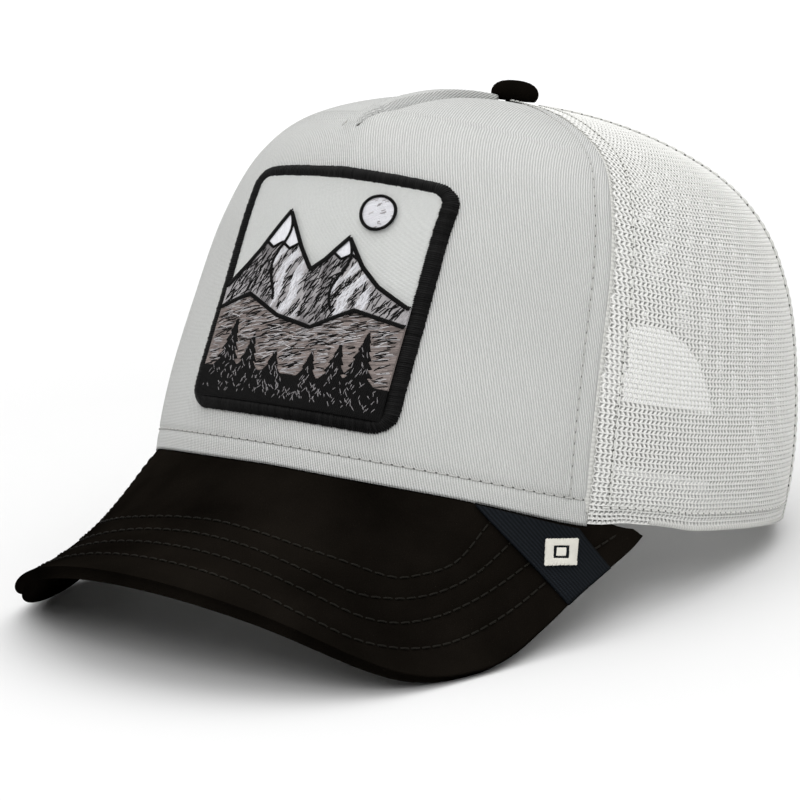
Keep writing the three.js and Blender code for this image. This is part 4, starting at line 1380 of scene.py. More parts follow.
class ThreadTree:
    """A Geometry Nodes tree that lays one bent thread at every point of a mesh."""

    INPUTS = (
        ("Aspect", "NodeSocketFloat", 5.0),
        ("Rise", "NodeSocketFloat", 0.9),
        ("Steps", "NodeSocketInt", 3),
        ("Sides", "NodeSocketInt", 4),
        ("Thread", "NodeSocketMaterial", None),
    )

    def __init__(self) -> None:
        """Builds the tree with named inputs."""
        self.tree = bpy.data.node_groups.new("laid_threads", "GeometryNodeTree")
        face = self.tree.interface
        face.new_socket(name="Points", in_out="INPUT", socket_type="NodeSocketGeometry")
        for name, kind, value in self.INPUTS:
            socket = face.new_socket(name=name, in_out="INPUT", socket_type=kind)
            if value is not None:
                socket.default_value = value
        face.new_socket(name="Threads", in_out="OUTPUT", socket_type="NodeSocketGeometry")
        n = Nodes(self.tree)
        source, out = n.add("NodeGroupInput"), n.add("NodeGroupOutput")
        half = n.math("MULTIPLY", source.outputs["Aspect"], 0.5)
        start = n.add("ShaderNodeCombineXYZ", {0: n.math("MULTIPLY", half, -1.0)})
        middle = n.add("ShaderNodeCombineXYZ", {2: source.outputs["Rise"]})
        end = n.add("ShaderNodeCombineXYZ", {0: half})
        bend = {"Resolution": source.outputs["Steps"], "Start": start.outputs[0],
                "Middle": middle.outputs[0], "End": end.outputs[0]}
        line = n.add("GeometryNodeCurveQuadraticBezier", bend)
        round_thread = {"Resolution": source.outputs["Sides"], "Radius": 0.5}
        ring = n.add("GeometryNodeCurvePrimitiveCircle", round_thread)
        swept = {"Curve": line.outputs[0], "Profile Curve": ring.outputs[0], "Fill Caps": True}
        solid = n.add("GeometryNodeCurveToMesh", swept)
        soft = n.add("GeometryNodeSetShadeSmooth", {"Geometry": solid.outputs[0]})
        turn = n.add("GeometryNodeInputNamedAttribute", {"Name": "turn"}, data_type="FLOAT_VECTOR")
        size = n.add("GeometryNodeInputNamedAttribute", {"Name": "size"}, data_type="FLOAT_VECTOR")
        spread = {"Points": source.outputs["Points"], "Instance": soft.outputs[0],
                  "Rotation": turn.outputs[0], "Scale": size.outputs[0]}
        laid = n.add("GeometryNodeInstanceOnPoints", spread)
        real = n.add("GeometryNodeRealizeInstances", {"Geometry": laid.outputs[0]})
        dressed = {"Geometry": real.outputs[0], "Material": source.outputs["Thread"]}
        done = n.add("GeometryNodeSetMaterial", dressed)
        self.tree.links.new(done.outputs[0], out.inputs["Threads"])

    def lay(self, name: str, sewn: Stitches, form: CrownForm, slot: str, thread: bpy.types.Material,
            rise: float = 0.9, steps: int = 3, sides: int = 4) -> Piece:
        """Lays a set of stitches as one joined mesh.

        Args:
            name: The piece's name.
            sewn: The stitches.
            form: The crown, which carries them to the frame.
            slot: The record's material slot.
            thread: The thread's material.
            rise: How far a stitch bends up at its middle, in thread widths.
            steps: Parts along each stitch.
            sides: Sides round the thread.

        Returns:
            The piece.
        """
        aspect = float(np.median(np.concatenate(sewn.lengths) / np.concatenate(sewn.widths)))
        places, turn, size, tones = sewn.frames(form)
        mesh = bpy.data.meshes.new(name)
        mesh.vertices.add(len(places))
        mesh.vertices.foreach_set("co", places.astype(np.float32).ravel())
        kept = (
            ("turn", "FLOAT_VECTOR", "vector", turn),
            ("size", "FLOAT_VECTOR", "vector", size / [aspect, 1, 1]),
            ("tone", "FLOAT", "value", tones),
        )
        for label, kind, key, values in kept:
            layer = mesh.attributes.new(label, kind, "POINT")
            layer.data.foreach_set(key, values.astype(np.float32).ravel())
        obj = bpy.data.objects.new(name, mesh)
        bpy.context.scene.collection.objects.link(obj)
        modifier = obj.modifiers.new("threads", "NODES")
        modifier.node_group = self.tree
        given = {"Aspect": aspect, "Rise": rise, "Steps": steps, "Sides": sides, "Thread": thread}
        for item in self.tree.interface.items_tree:
            if item.in_out == "INPUT" and item.name in given:
                modifier[item.identifier] = given[item.name]
        bpy.context.view_layer.update()
        depsgraph = bpy.context.evaluated_depsgraph_get()
        made = bpy.data.meshes.new_from_object(obj.evaluated_get(depsgraph), depsgraph=depsgraph)
        obj.modifiers.remove(modifier)
        obj.data = made
        made.name = name
        return settle(obj, slot)


@dataclass
class SewnLines:
    """The rows of topstitching on the crown."""

    form: CrownForm
    arch: Arch
    pitch: float = 3.0
    length: float = 2.35
    width: float = 0.5
    # width of the dark threads of painted shade in the needle holes
    hole_shade_width: float = 0.42
    twill_row: float = 6.0
    net_row: float = 6.8
    seam_row: float = 2.6
    rim_row_level: float = 0.0438
    hem_row_level: float = 5.2 / 150
    dart_row: tuple[float, float] = (-5.9, 0.0)
    # place and height of the painted shadow line along the dart's fold
    dart_shadow_line: tuple[float, float] = (0.1, 0.5)
    # short dark threads laid as painted shade in needle holes and along the dart's fold
    hole_shades: Stitches = field(default_factory=Stitches.empty)

    def along(self, angle: Array, level: Array, lift: Array | float) -> Array:
        """A line on the crown with its normals beside it."""
        point = self.form.point(angle, level, np.broadcast_to(lift, np.shape(angle)))
        return np.concatenate([point, self.form.normal(angle, level)], -1)

    def sew(self, sewn: Stitches, line: Array) -> None:
        """Adds evenly spaced stitches along a line, with a short dark thread between each two as painted shade
        in the needle hole.

        Args:
            sewn: Where the stitches are kept.
            line: The line's points and normals, (n, 6).
        """
        stops, ahead = resample(line, self.pitch)
        normals = unit(stops[:, 3:])
        sewn.add(stops[:, :3], ahead, normals, self.length, self.width)
        between = stops[:, :3] + ahead * self.pitch / 2 - 0.05 * normals
        # a dark thread in the needle hole: painted shade
        self.hole_shades.add(between, ahead, normals, self.pitch - self.length + 0.15, self.hole_shade_width)

    def sew_dart(self, sewn: Stitches) -> None:
        """Adds the row beside the folded dart and, where the fold closes, a dark line of thread that is
        painted shadow.

        Args:
            sewn: Where the stitches are kept.
        """
        level = np.linspace(self.form.DART_START + 0.01, 0.95, 90)
        panel = FrontPanel(self.form)
        lines = []
        for beside, raised in (self.dart_row, self.dart_shadow_line):
            x = self.form.dart_x(level) + beside
            lines.append(self.along(self.form.front_angle(x, level), level, panel.band(x, level) + raised))
        self.sew(sewn, lines[0])
        # an unbroken dark thread along the fold: painted shadow in the crease
        stops, ahead = resample(lines[1], 1.0)
        self.hole_shades.add(stops[:, :3], ahead, unit(stops[:, 3:]), 1.25, 0.4)

    def offset_seam(self, level: Array, distance: float) -> Array:
        """Angle of a line beside the front seam."""
        seam = self.form.seam(level)
        return seam + distance / self.form.angle_step(seam, level)

    def build(self, threads: ThreadTree, finishes: Finishes) -> None:
        """Builds every row of stitching on the crown.

        Args:
            threads: The tree that lays threads.
            finishes: The hat's finishes.
        """
        form = self.form
        twill, net = Stitches.empty(), Stitches.empty()
        up = np.linspace(0.04, 0.95, 160)
        for side in (1, -1):
            self.sew(twill, self.along(side * self.offset_seam(up, -self.twill_row), up, -0.3))
            self.sew(net, self.along(side * self.offset_seam(up, self.net_row), up, -0.15))
        seam_end = float(form.seam(np.array(0.045)))
        angle = np.linspace(-seam_end + 0.02, seam_end - 0.02, 160)
        self.sew(twill, self.along(angle, np.full(160, self.rim_row_level), -0.3))
        self.sew_dart(twill)
        left, right = self.arch.ends()
        for low, high in ((seam_end + 0.05, left - 0.06), (right + 0.06, TAU - seam_end - 0.05)):
            self.sew(net, self.along(np.linspace(low, high, 160), np.full(160, self.hem_row_level), -0.15))
        for seam in (form.SIDE_SEAM, -form.SIDE_SEAM, form.BACK_CENTRE):
            rows = np.linspace(0.36 if seam == form.BACK_CENTRE else 0.05, 0.93, 120)
            step = self.seam_row / form.angle_step(np.full(120, seam), rows)
            for side in (1, -1):
                self.sew(net, self.along(seam + side * step, rows, -0.1))
        angle, level = self.arch.edge(np.linspace(0.05, math.pi - 0.05, 120))
        self.sew(net, self.along(angle + (angle - math.pi) * 0.02, level * 1.01 + 0.004, 0.3))
        threads.lay("twill_stitches", twill, form, "twill", finishes["seam_thread"], rise=0.7, sides=6)
        threads.lay("net_stitches", net, form, "net", finishes["cream_thread"], sides=5)
        # the dark threads of painted shade in the needle holes and along the dart's fold
        threads.lay("painted_hole_shades", self.hole_shades, form, "twill", finishes["painted_hole_shade"], rise=0.2, steps=2)


# Peak and its label

# Each row is x and s from its middle to the wearer's left end, in flat millimetres
PEAK_STITCH_ROWS = (
    ((0, 23.4), (11.4, 23.9), (27.1, 24.0), (40.1, 21.8), (49.0, 18.7), (53.5, 13.0), (57.5, 3.9),
     (58.6, -8.6), (58.8, -14)),
    ((0, 30.6), (16.6, 31.1), (32.1, 31.6), (45.1, 30.0), (52.3, 24.5), (57.6, 16.1), (61.5, 4.8),
     (63.7, -7.0), (65, -18)),
    ((0, 38.8), (22.3, 38.9), (36.8, 38.4), (48.9, 36.0), (55.9, 30.6), (60.6, 21.7), (64.2, 10.4),
     (68.3, -6.6), (70.5, -18)),
    ((0, 48.3), (16, 48.1), (31.8, 47.8), (42.4, 46.7), (53.2, 42.8), (60.0, 35.8), (64.6, 27.0),
     (67.6, 17.5), (70.6, 4.0), (73.6, -12), (77.5, -31)),
)


@dataclass
class Peak:
    """The suede peak with its four sewn rows."""

    form: CrownForm
    columns: int = 300
    top_rows: int = 106
    edge_rows: int = 8
    under_rows: int = 12
    tuck: float = 3.0
    stitch_pitch: float = 3.3
    stitch_length: float = 2.5
    stitch_width: float = 0.6
    groove_sink: float = 0.4
    groove_width: float = 0.75

    def rows(self) -> list[Array]:
        """Each sewn row as a smooth flat line from one end to the other.

        Returns:
            Flat x and s of each row, in mm.
        """
        made = []
        for row in PEAK_STITCH_ROWS:
            half = np.array(row, float)
            whole = np.concatenate([half[:0:-1] * [-1, 1], half])
            t = np.linspace(0, 1, 400)
            made.append(np.stack([through_rows(whole[:, 0], t), through_rows(whole[:, 1], t)], -1))
        return made

    def inner_reach(self, angle: Array) -> Array:
        """Distance from the outline's centre to the line where the peak tucks in under the crown.

        Args:
            angle: Angles round the peak, in radians.

        Returns:
            The distances in mm.
        """
        peak, crown = self.form.peak, self.form.SECTIONS[0]
        power = crown[6] / 2
        low, high = np.full(angle.shape, 5.0), np.full(angle.shape, 120.0)
        for _ in range(40):
            middle = (low + high) / 2
            x, s = peak.flat(angle, middle)
            top = peak.skin(x, s, peak.half(x, s))
            across = (np.abs(top[..., 0]) / crown[2]) ** power
            along = (np.maximum(-top[..., 1], 0) / -crown[0]) ** power
            rim = self.form.base(np.arctan2(across, along), 0 * angle)
            depth = np.hypot(rim[..., 0], rim[..., 1]) - np.hypot(top[..., 0], top[..., 1])
            inside = (depth > self.tuck) | (top[..., 2] > rim[..., 2] - 0.1 + 1.3 * np.maximum(depth, 0))
            low, high = np.where(inside, middle, low), np.where(inside, high, middle)
        return low

    def outward(self, angle: Array) -> Array:
        """Direction in the board that points out across its edge.

        Args:
            angle: Angle in the flat board.

        Returns:
            Unit vectors.
        """
        peak = self.form.peak
        e = 0.01
        a, b = np.minimum(angle + e, peak.sweep), np.maximum(angle - e, -peak.sweep)
        along = peak.middle(*peak.flat(a, peak.reach(a))) - peak.middle(*peak.flat(b, peak.reach(b)))
        return -unit(np.cross(along, peak.normal(*peak.flat(angle, peak.reach(angle)))))

    def groove(self, x: Array, s: Array) -> Array:
        """Sink of the cloth along the sewn rows.

        Args:
            x: Flat x across the peak, in mm.
            s: Flat length along the peak, in mm.

        Returns:
            Depths in mm.
        """
        sink = np.zeros(x.shape)
        for line in self.rows():
            near = np.full(x.shape, 1e9)
            for k in range(0, len(line) - 4, 4):
                a, b = line[k], line[k + 4]
                d = b - a
                t = np.clip(((x - a[0]) * d[0] + (s - a[1]) * d[1]) / (d @ d + 1e-9), 0, 1)
                near = np.minimum(near, np.hypot(x - a[0] - t * d[0], s - a[1] - t * d[1]))
            sink = sink + self.groove_sink * np.exp(-((near / self.groove_width) ** 2))
        return sink

    def build(self, threads: ThreadTree, finishes: Finishes) -> None:
        """Builds the peak, its suede and its stitches.

        Args:
            threads: The tree that lays threads.
            finishes: The hat's finishes.
        """
        peak = self.form.peak
        angle = np.linspace(-peak.sweep, peak.sweep, self.columns)
        inner = self.inner_reach(angle)
        outer = np.maximum(peak.reach(angle), inner)
        share = np.linspace(0, 1, self.top_rows)
        x, s = peak.flat(angle[:, None], inner[:, None] + (outer - inner)[:, None] * share)
        top = peak.skin(x, s, peak.half(x, s) - self.groove(x, s))
        ex, es = peak.flat(angle, outer)
        half, out = peak.half(ex, es), self.outward(angle)
        turn = math.pi / 2 - math.pi * np.arange(1, self.edge_rows) / self.edge_rows
        edge = peak.skin(ex[:, None], es[:, None], half[:, None] * np.sin(turn))
        edge = edge + out[:, None] * (half[:, None] * np.cos(turn))[..., None]
        share = np.linspace(1, 0, self.under_rows)
        ux, us = peak.flat(angle[:, None], inner[:, None] + (outer - inner)[:, None] * share)
        under = peak.skin(ux, us, -peak.half(ux, us))
        loops = np.concatenate([top, edge, under], 1)
        first, last = loops[:1].mean(1, keepdims=True), loops[-1:].mean(1, keepdims=True)
        loops = np.concatenate([first + 0 * loops[:1], loops, last + 0 * loops[-1:]])
        obj = make_loops("peak_suede", self.form, loops)
        settle(obj, "suede", finishes["suede"], ["peak"])
        sewn = Stitches.empty()
        for line in self.rows():
            x, s = line[:, 0], line[:, 1]
            points = np.concatenate([peak.skin(x, s, peak.half(x, s) - 0.25), peak.normal(x, s)], -1)
            stops, ahead = resample(points, self.stitch_pitch)
            sewn.add(stops[:, :3], ahead, unit(stops[:, 3:]), self.stitch_length, self.stitch_width)
        threads.lay("peak_stitches", sewn, self.form, "black_thread", finishes["olive_thread"],
                    rise=0.8, steps=4, sides=6)


@dataclass
class PeakLabel:
    """The ribbon across the peak, with its woven lozenge."""

    peak: Peak
    rim_s: float = -18.9
    edge_s: float = -14.8
    rim_width: float = 12.0
    width: float = 15.2
    thickness: float = 0.8
    gap: float = 0.3
    under: float = 7.0
    motif_in: float = 12.5
    motif_s: float = -16.2
    motif_half_wide: float = 5.5
    motif_half_long: float = 6.0
    top_columns: int = 44
    edge_columns: int = 12
    under_columns: int = 10
    rows: int = 24

    def edge_angle(self, s: Array) -> Array:
        """Angle of the outline at a place along the peak.

        Args:
            s: Flat length along the peak, in mm.

        Returns:
            Angles in the flat board.
        """
        form = self.peak.form.peak
        low, high = np.full(s.shape, math.radians(45)), np.full(s.shape, form.sweep)
        for _ in range(30):
            middle = (low + high) / 2
            ahead = form.flat(middle, form.reach(middle))[1] > s
            low, high = np.where(ahead, middle, low), np.where(ahead, high, middle)
        return low

    def rim_x(self, s: Array) -> Array:
        """Flat x at which the rim crosses, plus a little room.

        Args:
            s: Places along the peak.

        Returns:
            The x of each, in mm.
        """
        form, crown = self.peak.form.peak, self.peak.form.SECTIONS[0]
        low, high = np.full(s.shape, 20.0), np.full(s.shape, crown[2])
        for _ in range(30):
            middle = (low + high) / 2
            p = form.skin(middle, s, form.half(middle, s))
            within = (np.abs(p[..., 0]) / crown[2]) ** crown[6] + np.abs(p[..., 1] / crown[0]) ** crown[6] < 1
            low, high = np.where(within, middle, low), np.where(within, high, middle)
        return low + 0.8

    def x_in(self, s: Array, distance: Array) -> Array:
        """Flat x a distance in from the edge, measured along the board.

        Args:
            s: Flat length along the peak, in mm.
            distance: Distance from the edge, in mm.

        Returns:
            Flat x in mm.
        """
        form = self.peak.form.peak
        angle = self.edge_angle(s)
        x, left = form.flat(angle, form.reach(angle))[0], np.array(distance, float)
        while np.any(left > 0):
            step = np.linalg.norm(form.middle(x, s) - form.middle(x - 0.1, s), axis=-1)
            x = np.where(left > 0, x - 0.1, x)
            left = np.where(left > 0, left - step, left)
        return x

    def skin(self, extra: float) -> Array:
        """One face of the ribbon: over the peak, round its edge and under it.

        Args:
            extra: Height over the ribbon's lower face, in mm.

        Returns:
            Its points, rows across the ribbon and columns along it.
        """
        form = self.peak.form.peak
        turned = self.top_columns + self.edge_columns
        v = np.linspace(0, 1, self.rows)
        columns = []
        for column in range(turned + self.under_columns + 1):
            share = min(column / self.top_columns, 1)
            wide = self.rim_width + (self.width - self.rim_width) * share
            s = self.rim_s + (self.edge_s - self.rim_s) * share + wide * (0.5 - v)
            angle = self.edge_angle(s)
            x = form.flat(angle, form.reach(angle))[0]
            if column <= self.top_columns:
                rim = self.rim_x(s)
                x = rim + (x - rim) * share
                columns.append(form.skin(x, s, form.half(x, s) + self.gap + extra))
            elif column < turned:
                lift = form.half(x, s) + self.gap + extra
                turn = math.pi / 2 - math.pi * (column - self.top_columns) / self.edge_columns
                out = self.peak.outward(angle) * (lift * math.cos(turn))[:, None]
                columns.append(form.skin(x, s, lift * math.sin(turn)) + out)
            else:
                back = (column - turned) / self.under_columns
                x = x + (self.x_in(s, np.full(s.shape, self.under)) - x) * back
                columns.append(form.skin(x, s, -(form.half(x, s) + self.gap + extra)))
        return np.stack(columns, 1)

    def build(self, threads: ThreadTree, finishes: Finishes) -> None:
        """Builds the ribbon and the lozenge on it.

        Args:
            threads: The tree that lays threads.
            finishes: The hat's finishes.
        """
        outer, inner = self.skin(self.thickness), self.skin(0)
        along = np.linalg.norm(np.diff(outer, axis=1), axis=-1).mean(0)
        along = np.concatenate([[0], np.cumsum(along)])[None] + np.zeros((self.rows, 1))
        across = np.linspace(0, self.width, self.rows)[:, None] + 0 * along
        obj = make_wall("peak_ribbon", self.peak.form, outer, inner, np.stack([across, along], -1))
        settle(obj, "ribbon", finishes["ribbon"], ["peak_label"])
        self.build_motif(threads, finishes)

    def motif_point(self, u: Array, v: Array, lift: float) -> Array:
        """Place on the lozenge, with its normal beside it.

        Args:
            u: Shares along the lozenge's first direction.
            v: Shares along its second direction.
            lift: Height over the ribbon, in mm.

        Returns:
            Points and normals, (..., 6).
        """
        form = self.peak.form.peak
        s = self.motif_s + (u - v) * self.motif_half_long
        x = self.x_in(s, self.motif_in + (u + v - 1) * self.motif_half_wide)
        raised = form.half(x, s) + self.gap + self.thickness + lift
        return np.concatenate([form.skin(x, s, raised), form.normal(x, s)], -1)

    def build_motif(self, threads: ThreadTree, finishes: Finishes) -> None:
        """Builds the lozenge of cream thread round an open middle.

        Args:
            threads: The tree that lays threads.
            finishes: The hat's finishes.
        """
        sewn = Stitches.empty()
        corners = np.array([(0, 0), (0, 1), (1, 1), (1, 0)], float)
        t = ((np.arange(26) + 0.5) / 26)[:, None]
        for a, b in zip(corners, np.roll(corners, -1, axis=0)):
            out = a + (b - a) * t
            self.lay_across(sewn, out, 0.5 + (out - 0.5) * 0.5)
        t = np.linspace(0.06, 0.94, 14)
        low, high = [0.5 + 0.3 * (np.stack([t, end + 0 * t], -1) - 0.5) for end in (0, 1)]
        self.lay_across(sewn, low, high)
        form = self.peak.form
        threads.lay("motif_stitches", sewn, form, "cream_thread", finishes["motif_weave"], rise=0.5)
        share = np.linspace(0.02, 0.98, 16)
        v, u = np.meshgrid(share, share, indexing="ij")
        outer, inner = self.motif_point(u, v, 0.35)[..., :3], self.motif_point(u, v, 0.1)[..., :3]
        obj = make_wall("motif_ground", form, outer, inner, np.stack([u, v], -1) * 11)
        settle(obj, "cream_thread", finishes["ribbon"], ["label_motif"])

    def lay_across(self, sewn: Stitches, start: Array, end: Array) -> None:
        """Adds threads from one set of the lozenge's places to another.

        Args:
            sewn: Where the threads are kept.
            start: Places that they start from, (n, 2).
            end: Places that they end at.
        """
        a = self.motif_point(start[:, 0], start[:, 1], 0.45)
        b = self.motif_point(end[:, 0], end[:, 1], 0.45)
        length = np.linalg.norm(b[:, :3] - a[:, :3], axis=-1)
        sewn.add((a[:, :3] + b[:, :3]) / 2, unit(b[:, :3] - a[:, :3]), unit(a[:, 3:]), length, 0.42)


# Patch

@dataclass(frozen=True)
class PatchForm:
    """The patch's place on the crown: a across and b up from its middle."""

    form: CrownForm
    width: float = 70
    height: float = 72.5
    corner: float = 7.5
    border: float = 5.0
    gap: float = 0.3
    ground_rise: float = 1.2
    middle_level: float = 0.294
    level_per_mm: float = 0.4 / 72.5

    def point(self, a: Array, b: Array, lift: Array | float) -> Array:
        """Point of the patch lifted off the twill, in upright millimetres."""
        level, angle = self.spot(a, b)
        return self.form.point(angle, level, self.gap + np.asarray(lift, float))

    def spot(self, a: Array, b: Array) -> tuple[Array, Array]:
        """Level and angle of a place of the patch."""
        level = self.middle_level + b * self.level_per_mm
        return level, self.form.front_angle(a, level)

    def normal(self, a: Array, b: Array) -> Array:
        """Outward direction of the patch.

        Args:
            a: Place across the patch, in mm.
            b: Place up the patch, in mm.

        Returns:
            Unit vectors.
        """
        e = 0.3
        across = self.point(a + e, b, 0.0) - self.point(a - e, b, 0.0)
        up = self.point(a, b + e, 0.0) - self.point(a, b - e, 0.0)
        return unit(np.cross(across, up))

    def stitch(self, sewn: Stitches, start: Array, end: Array, lift: Array | float, width: float,
               tone: Array | float) -> None:
        """Adds threads between places of the patch.

        Args:
            sewn: Where they are kept.
            start: Places a, b that they start from, (n, 2).
            end: Places that they end at.
            lift: Height above the twill.
            width: Thickness of the thread.
            tone: One tone, or one for each.
        """
        p, q = self.point(start[:, 0], start[:, 1], lift), self.point(end[:, 0], end[:, 1], lift)
        middle = (start + end) / 2
        normals = self.normal(middle[:, 0], middle[:, 1])
        sewn.add((p + q) / 2, unit(q - p), normals, np.linalg.norm(q - p, axis=-1), width, tone)


def skyline(rows: Sequence[tuple[float, float]], a: Array) -> Array:
    """Height of a line of straight slopes."""
    return np.interp(a, [row[0] for row in rows], [row[1] for row in rows])


class Part(Enum):
    """The parts of the patch's picture."""

    TREES = "trees"
    HILLS = "hills"
    MOUNTAINS = "mountains"
    SNOW = "snow"
    MOON = "moon"


class Landscape:
    """The picture on the patch: trees, hills, two snowy mountains and a moon."""

    TREE_FLOOR = -23
    TREES = ((-22, 13, 5), (-14, 9.5, 4), (-5, 6, 3), (7, 7, 3), (15, 10, 4), (22, 14, 5))
    HILLS = ((-30, -7), (-20, -3), (-8, -8), (4, -10), (16, -4), (30, -6))
    MOUNTAINS = ((-30, -1), (-24, 5), (-20.5, 9), (-13, 20), (-6, 10.5), (-1, 5), (3, 8), (9, 14.5),
                 (15, 7.5), (21, 3), (30, -1))
    SNOW = ((-19, -7, 10.6), (5, 13, 9.4))
    SUMMITS = ((-13, 20), (9, 14.5))
    MOON = (15, 22.5, 5.0)
    HALF = 30.8
    BOTTOM = -32.4

    def firs(self, a: Array, b: Array) -> Array:
        """Whether places lie in the trees, whose boughs step in on the way up.

        Args:
            a: Place across the patch, in mm.
            b: Place up the patch, in mm.

        Returns:
            True in a tree.
        """
        inside = b < self.TREE_FLOOR
        for centre, height, half in self.TREES:
            up = (b - self.TREE_FLOOR) / height
            bough = 1 - 0.42 * ((up * height / 2.3) % 1)
            inside = inside | ((up < 1) & (np.abs(a - centre) < half * (1 - up) * bough + 0.25))
        return inside

    def hills(self, a: Array) -> Array:
        """Top of the hills."""
        return skyline(self.HILLS, a)

    def mountains(self, a: Array) -> Array:
        """Top of the mountains."""
        return skyline(self.MOUNTAINS, a)

    def snow_floor(self, a: Array) -> Array:
        """Lower edge of the snow, ragged like melting snow, or above the summit where there is none.

        Args:
            a: Place across the patch, in mm.

        Returns:
            Heights in mm.
        """
        floor = np.full(a.shape, 99.0)
        for low, high, height in self.SNOW:
            ragged = height + 1.6 * np.abs(((a - low) / 3.0) % 2 - 1) - 0.8
            floor = np.where((a > low) & (a < high), ragged, floor)
        return floor

    def region(self, part: Part, a: Array, b: Array) -> Array:
        """Whether places of the patch lie in a part of the picture.

        Args:
            part: The part.
            a: Places across.
            b: Places up.

        Returns:
            True for each place that does.
        """
        within = np.abs(a) < self.HALF
        firs, hills, tops = self.firs(a, b), self.hills(a), self.mountains(a)
        snow = self.snow_floor(a)
        if part is Part.TREES:
            return within & (b > self.BOTTOM) & firs
        if part is Part.HILLS:
            return within & ~firs & (b < hills)
        if part is Part.MOUNTAINS:
            return within & ~firs & (b >= hills) & (b < np.minimum(tops, snow))
        if part is Part.SNOW:
            return within & (b >= snow) & (b < tops)
        centre_a, centre_b, radius = self.MOON
        return np.hypot(a - centre_a, b - centre_b) < radius

    def ridge(self, summit: tuple[float, float], b: Array) -> Array:
        """Wavy line down from a summit, between its lit and its dark side."""
        return summit[0] + 1.8 * np.sin((summit[1] - b) / 3.1)

    def light(self, a: Array, b: Array) -> Array:
        """Tone of the mountains: their facets lit from the right, dark to the left.

        Args:
            a: Places across.
            b: Places up.

        Returns:
            Tones from 0 dark to 1 light.
        """
        tone = np.full(a.shape, 0.5)
        for centre, top in self.SUMMITS:
            near = np.abs(a - centre) < (11 if centre < 0 else 10)
            ridge = self.ridge((centre, top), b)
            spur = np.sin((top - b) / 1.7 + np.abs(a - ridge) * 1.1)
            facet = np.where(a > ridge, 0.72, 0.2) + 0.24 * np.sign(spur)
            tone = np.where(near, facet, tone)
        return tone


@dataclass(frozen=True)
class Filling:
    """How one part of the picture is filled with thread."""

    part: Part
    slot: str
    angle: float
    nodes: tuple[str, ...]
    tone: float = 0.5
    spread: float = 0.25
    lift: float = 1.95
    pitch: float = 0.28
    width: float = 0.38
    longest: float = 3.6


@dataclass(frozen=True)
class Stroke:
    """Loose strokes over one part of the picture: middle turn and its spread, and lengths."""

    part: Part
    finish: str
    count: int
    turn: tuple[float, float]
    length: tuple[float, float]
    between: tuple[float, float]
    tone: float = 1.0


